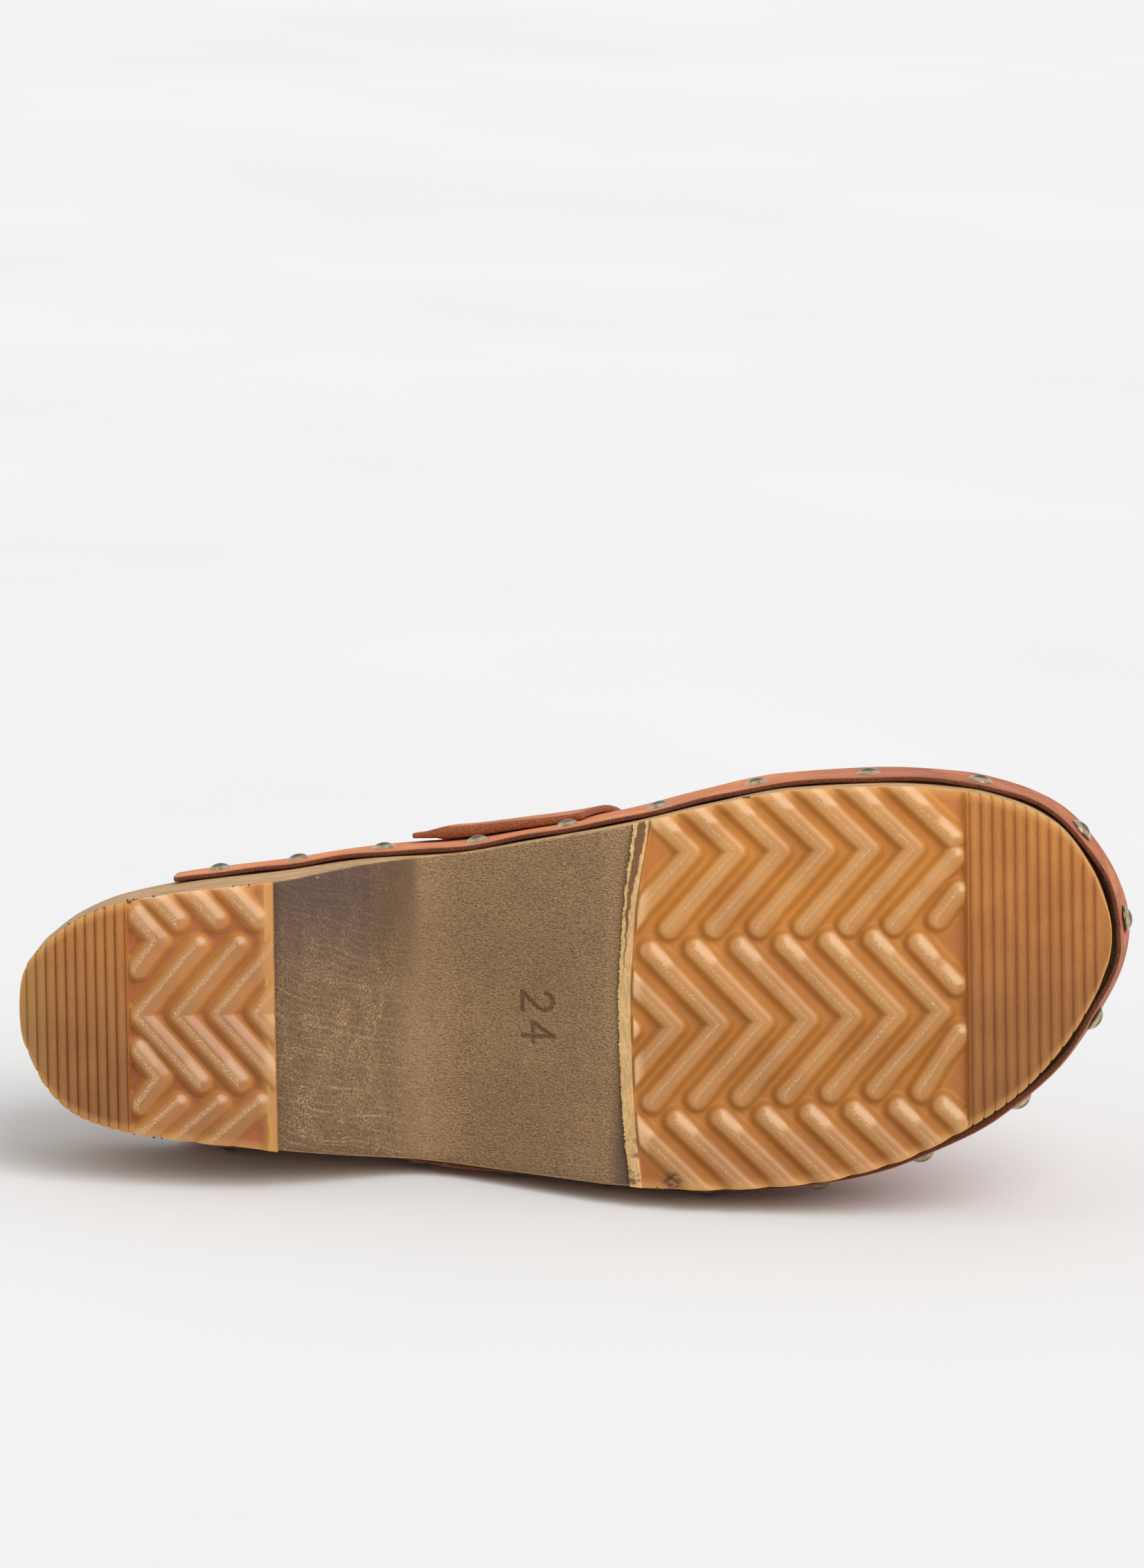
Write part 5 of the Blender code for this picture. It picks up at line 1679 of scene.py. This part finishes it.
def make_rubber_material(pad):
    """Translucent amber gum rubber: deep colour in the grooves, paler lugs whose flanks are lightened as
    painted glow, painted highlights on the lugs' tips, painted sparkle on beads and ribs, painted shade in
    the rib grooves, dirt, and a cut cream edge.
    """
    look = RUBBER_LOOK[pad]
    paint = {**paints(RUBBER_SHARED_LOOK), **paints(look)}
    made, tree, shader = new_material(f"{pad}_gum_rubber")
    place = place_on_shoe(tree)
    x, y, _ = axes(tree, place)
    relief = attribute(tree, "relief")
    lug_side = attribute(tree, "lug_side")
    past_skive = attribute(tree, "skive")
    cut = remap(tree, past_skive, 0.1, -0.1)

    off_crest = calculate(tree, "ABSOLUTE", lug_side)
    # Colour by height on the lugs; the flank colour, and on the forefoot the colour round the lugs' bases,
    # are lightened as painted glow that lifts the flanks' shade
    low = mix(tree, remap(tree, off_crest, 3.5, 4.8), paint["groove"], paint["floor"])
    body = mix(tree, remap(tree, relief, 0.0, 0.3), low, paint["side"])
    body = mix(tree, remap(tree, relief, 0.55, 1.0), body, paint["crest"])
    grit = noise_value(tree, stretched(tree, place, 0.44, 0.44, 0.44), 2.0, 0.6)
    grains = remap(tree, grit, 0.5, 0.64)
    body = mix(tree, attribute(tree, "ribbed"), body, rib_colour(tree, place, y, paint, grains))
    body = shade(tree, body, mottled(tree, place, 15.0, paint["clear"], paint["clouded"]))
    body = shade(tree, body, mix(tree, remap(tree, y, -40.0, 30.0), paint["white"], paint["outer_shade"]))
    body, beads, line = lug_marks(tree, body, lug_side, relief, grains, look, paint)

    # Pale tint: a painted highlight on the lit tips of the lugs, and the real pale rubber where the skive
    # cuts through a lug
    cut_through = times(tree, remap(tree, past_skive, 3.4, 1.0), remap(tree, relief, 0.5, 0.9))
    pale = larger(tree, attribute(tree, "tip"), cut_through)
    body = tint(tree, body, pale, look["tip"], paint["highlight_and_cut_pale"])
    rim_glow = times(tree, remap(tree, attribute(tree, "to_edge"), 2.8, 0.2), 0.45)
    glow = larger(tree, rim_glow, times(tree, attribute(tree, "border"), 0.5))
    body = mix(tree, glow, body, paint["glow"])
    front_line = times(tree, remap(tree, x, *HEEL_FRONT_LINE), remap(tree, x, *HEEL_FRONT_LINE_END))
    body = tint(tree, body, front_line, 0.5, paint["front_line"])
    body = mix(tree, remap(tree, x, *HEEL_BACK_FADE, 0.0, 0.45), body, paint["heel_back"])
    fibres = noise_value(tree, stretched(tree, place, 0.5, 1.8, 2.0), 3.0, 0.6)
    body = mix(tree, cut, body, skive_colour(tree, place, y, past_skive, fibres))
    seam = remap(tree, calculate(tree, "ABSOLUTE", past_skive), 0.28, 0.08)
    seam = times(tree, seam, remap(tree, y, -16.0, -32.0, 0.2, 0.7))
    body = mix(tree, seam, body, paint["skive_seam"])
    body = rubber_dirt(tree, body, place, x, y, paint)

    uneven = noise_value(tree, stretched(tree, place, 1.6, 1.6, 1.6), 2.0)
    dull = remap(tree, relief, 0.85, 0.3, look["roughness"], 0.6)
    skin = grain_height(tree, place, 2.6, 0.1)
    height = times_plus(tree, skin, 0.25, times(tree, beads, 0.5))
    height = times_plus(tree, line, -0.15, height)
    height = times_plus(tree, times(tree, fibres, cut), 1.2, height)
    feed(tree, shader, Base_Color=body, Roughness=times_plus(tree, uneven, 0.12, dull),
         Coat_Weight=remap(tree, relief, 0.45, 0.85, 0.0, 0.45), Normal=bump(tree, height, 0.16))
    settle(shader, Coat_Roughness=look["roughness"], Subsurface_Weight=0.65,
           Subsurface_Radius=(1.0, 0.65, 0.3), Subsurface_Scale=3.0 * MILLIMETRE)
    return made


def make_leather_material(name):
    """Brushed leather with a raw, darker cut edge and a pale flesh side, dusty near the toe."""
    paint = {**paints(LEATHER_SHARED_LOOK), **paints(LEATHER_LOOK[name])}
    made, tree, shader = new_material(name)
    place = place_on_shoe(tree)
    outside = attribute(tree, "outside")
    cut_edge = attribute(tree, "cut_edge")
    above_edge = attribute(tree, "above_edge")

    face = mottled(tree, place, 13.0, paint["light"], paint["dark"])
    nap = noise_value(tree, stretched(tree, place, 0.5, 0.5, 0.5), 3.0, 0.65)
    face = mix(tree, remap(tree, nap, 0.35, 0.65, 0.0, 0.28), face, paint["dark"])
    smudges = noise_value(tree, stretched(tree, place, 9.0, 5.0, 5.0), 4.0, 0.6, 0.5)
    face = mix(tree, remap(tree, smudges, 0.58, 0.78, 0.0, 0.22), face, paint["edge_light"])
    face = mix(tree, remap(tree, above_edge, 2.4, 0.2, 0.0, 0.35), face, paint["edge_light"])
    near_sole = remap(tree, above_edge, 40.0, 12.0, 0.35, 1.0)
    at_toe = times(tree, remap(tree, axes(tree, place)[0], *TOE_DUST), near_sole)
    dusty = times(tree, at_toe, remap(tree, smudges, 0.34, 0.62, 0.4, 0.85))
    face = mix(tree, dusty, face, paint["dust"])
    flesh = mottled(tree, place, 6.0, paint["flesh_light"], paint["flesh_dark"])
    body = mix(tree, remap(tree, outside, 0.3, 0.7), flesh, face)
    fibres = noise_value(tree, stretched(tree, place, 0.35, 0.35, 0.35), 4.0, 0.7)
    edge = mix(tree, remap(tree, fibres, 0.35, 0.65), paint["edge_dark"], paint["edge_light"])
    body = mix(tree, remap(tree, cut_edge, 0.2, 0.7), body, edge)
    body = tint(tree, body, specks(tree, place, 7.0, 1.1, 0.16), 0.22, paint["dark"])

    grain = grain_height(tree, place, 1.3, 0.7)
    height = times_plus(tree, times(tree, fibres, cut_edge), 2.2, grain)
    feed(tree, shader, Base_Color=body, Roughness=times_plus(tree, nap, 0.25, 0.6),
         Normal=bump(tree, height, 0.17))
    settle(shader, Sheen_Weight=0.04, Sheen_Roughness=0.5, Specular_IOR_Level=0.3)
    return made


def make_brass_material():
    """Dark antique plating, darkened on the crown and at the rim of each dome round a bright shoulder:
    painted reflection contrast, the rim's dark also patina.
    """
    paint = paints(PLATING_LOOK)
    made, tree, shader = new_material("antique_plating")
    place = place_on_shoe(tree)
    out = attribute(tree, "out_share")
    tarnish = noise_value(tree, stretched(tree, place, 1.4, 1.4, 1.4), 4.0, 0.6)
    metal = mix(tree, remap(tree, tarnish, 0.3, 0.75), paint["bright"], paint["tarnished"])
    # Painted reflection contrast: the crown and the rim are darkened round a bright shoulder; the rim's
    # dark is also patina
    metal = mix(tree, remap(tree, out, 0.74, 0.5, 0.0, 0.9), metal, paint["crown"])
    metal = mix(tree, remap(tree, out, 0.88, 0.98, 0.0, 0.85), metal, paint["rim"])
    feed(tree, shader, Base_Color=metal, Roughness=times_plus(tree, tarnish, 0.2, 0.1),
         Normal=bump(tree, grain_height(tree, place, 0.7, 0.3), 0.02))
    settle(shader, Metallic=1.0)
    return made


def make_crumb_material():
    """Dried brown glue and dirt."""
    paint = paints(CRUMB_LOOK)
    made, tree, shader = new_material("dried_glue")
    place = place_on_shoe(tree)
    grain = grain_height(tree, place, 0.4, 0.6)
    feed(tree, shader, Base_Color=mottled(tree, place, 0.8, paint["light"], paint["dark"]),
         Roughness=times_plus(tree, grain, 0.2, 0.5), Normal=bump(tree, grain, 0.1))
    return made


# Studio


def make_floor():
    """Plain pale floor."""
    paint = paints(FLOOR_LOOK)
    mesh = bpy.data.meshes.new("studio_floor")
    signs = ((-1.0, -1.0), (1.0, -1.0), (1.0, 1.0), (-1.0, 1.0))
    corners = [(x * FLOOR_REACH, y * FLOOR_REACH, 0.0) for x, y in signs]
    mesh.from_pydata(corners, [], [(0, 1, 2, 3)])
    floor = bpy.data.objects.new("studio_floor", mesh)
    bpy.context.scene.collection.objects.link(floor)
    made, tree, shader = new_material("pale_floor")
    place = add(tree, "ShaderNodeTexCoord").outputs["Object"]
    feed(tree, shader, Base_Color=mottled(tree, place, 0.4, paint["light"], paint["dark"]))
    settle(shader, Roughness=0.9, Specular_IOR_Level=0.0)
    mesh.materials.append(made)


def make_lights():
    """Broad soft light from the upper right, and an even room."""
    light = bpy.data.lights.new("key_light", "SUN")
    light.energy = KEY_STRENGTH
    light.angle = math.radians(KEY_WIDTH_DEGREES)
    lamp = bpy.data.objects.new("key_light", light)
    lamp.rotation_euler = (-Vector(KEY_DIRECTION)).to_track_quat("-Z", "Y").to_euler()
    bpy.context.scene.collection.objects.link(lamp)
    world = bpy.data.worlds.new("studio")
    world.use_nodes = True
    background = world.node_tree.nodes["Background"]
    background.inputs["Color"].default_value = (1.0, 1.0, 1.0, 1.0)
    background.inputs["Strength"].default_value = ROOM_STRENGTH
    bpy.context.scene.world = world


def make_camera():
    """Camera that looks at the sole as the photograph does."""
    tilt = math.radians(CAMERA_TILT_DEGREES)
    roll = math.radians(CAMERA_ROLL_DEGREES)
    ahead = Vector((0.0, math.sin(tilt), math.cos(tilt)))
    level_right = Vector((1.0, 0.0, 0.0))
    level_up = Vector((0.0, -math.cos(tilt), math.sin(tilt)))
    right = level_right * math.cos(roll) - level_up * math.sin(roll)
    up = level_right * math.sin(roll) + level_up * math.cos(roll)
    focal = PIXELS_PER_MILLIMETRE * CAMERA_DISTANCE
    across = (HEEL_FRONT_PIXEL[0] - PHOTO_WIDTH / 2.0) / focal
    down = (HEEL_FRONT_PIXEL[1] - PHOTO_HEIGHT / 2.0) / focal
    place = Vector(HEEL_FRONT_POINT) - (ahead + right * across - up * down) * CAMERA_DISTANCE
    turned = Matrix((right, up, -ahead)).transposed().to_4x4()
    camera = bpy.data.cameras.new("camera")
    camera.sensor_fit = "AUTO"
    camera.sensor_width = SENSOR_SIDE
    camera.lens = focal * SENSOR_SIDE / PHOTO_HEIGHT
    camera.clip_end = 100.0
    holder = bpy.data.objects.new("camera", camera)
    holder.matrix_world = LYING @ Matrix.Translation(place * MILLIMETRE) @ turned
    bpy.context.scene.collection.objects.link(holder)
    bpy.context.scene.camera = holder


def dress(piece, material, slot, *nodes):
    """Give a piece its material and let it stand for its solids."""
    piece.data.materials.clear()
    piece.data.materials.append(material)
    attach(piece, "root")
    if nodes:
        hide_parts(*nodes)


def main():
    """Dress the clog and set up the studio."""
    make_camera()
    make_floor()
    make_lights()
    bpy.context.scene.view_settings.view_transform = "Standard"
    dress(make_wood_sole(), make_wood_material(), "wood", "wood_sole")
    dress(make_heel_pad(), make_rubber_material("heel"), "gum_rubber", "heel_pad")
    dress(make_fore_pad(), make_rubber_material("fore"), "gum_rubber", "fore_pad")
    dress(make_upper(), make_leather_material("tan_leather"), "tan_leather", "upper")
    dress(make_strap(), make_leather_material("brown_leather"), "brown_leather", "strap")
    brass = make_brass_material()
    for number, head in enumerate(make_nail_heads(), start=1):
        dress(head, brass, "aged_brass", f"stud_{number:02d}")
    dress(make_glue_crumbs(), make_crumb_material(), "gum_rubber")


main()
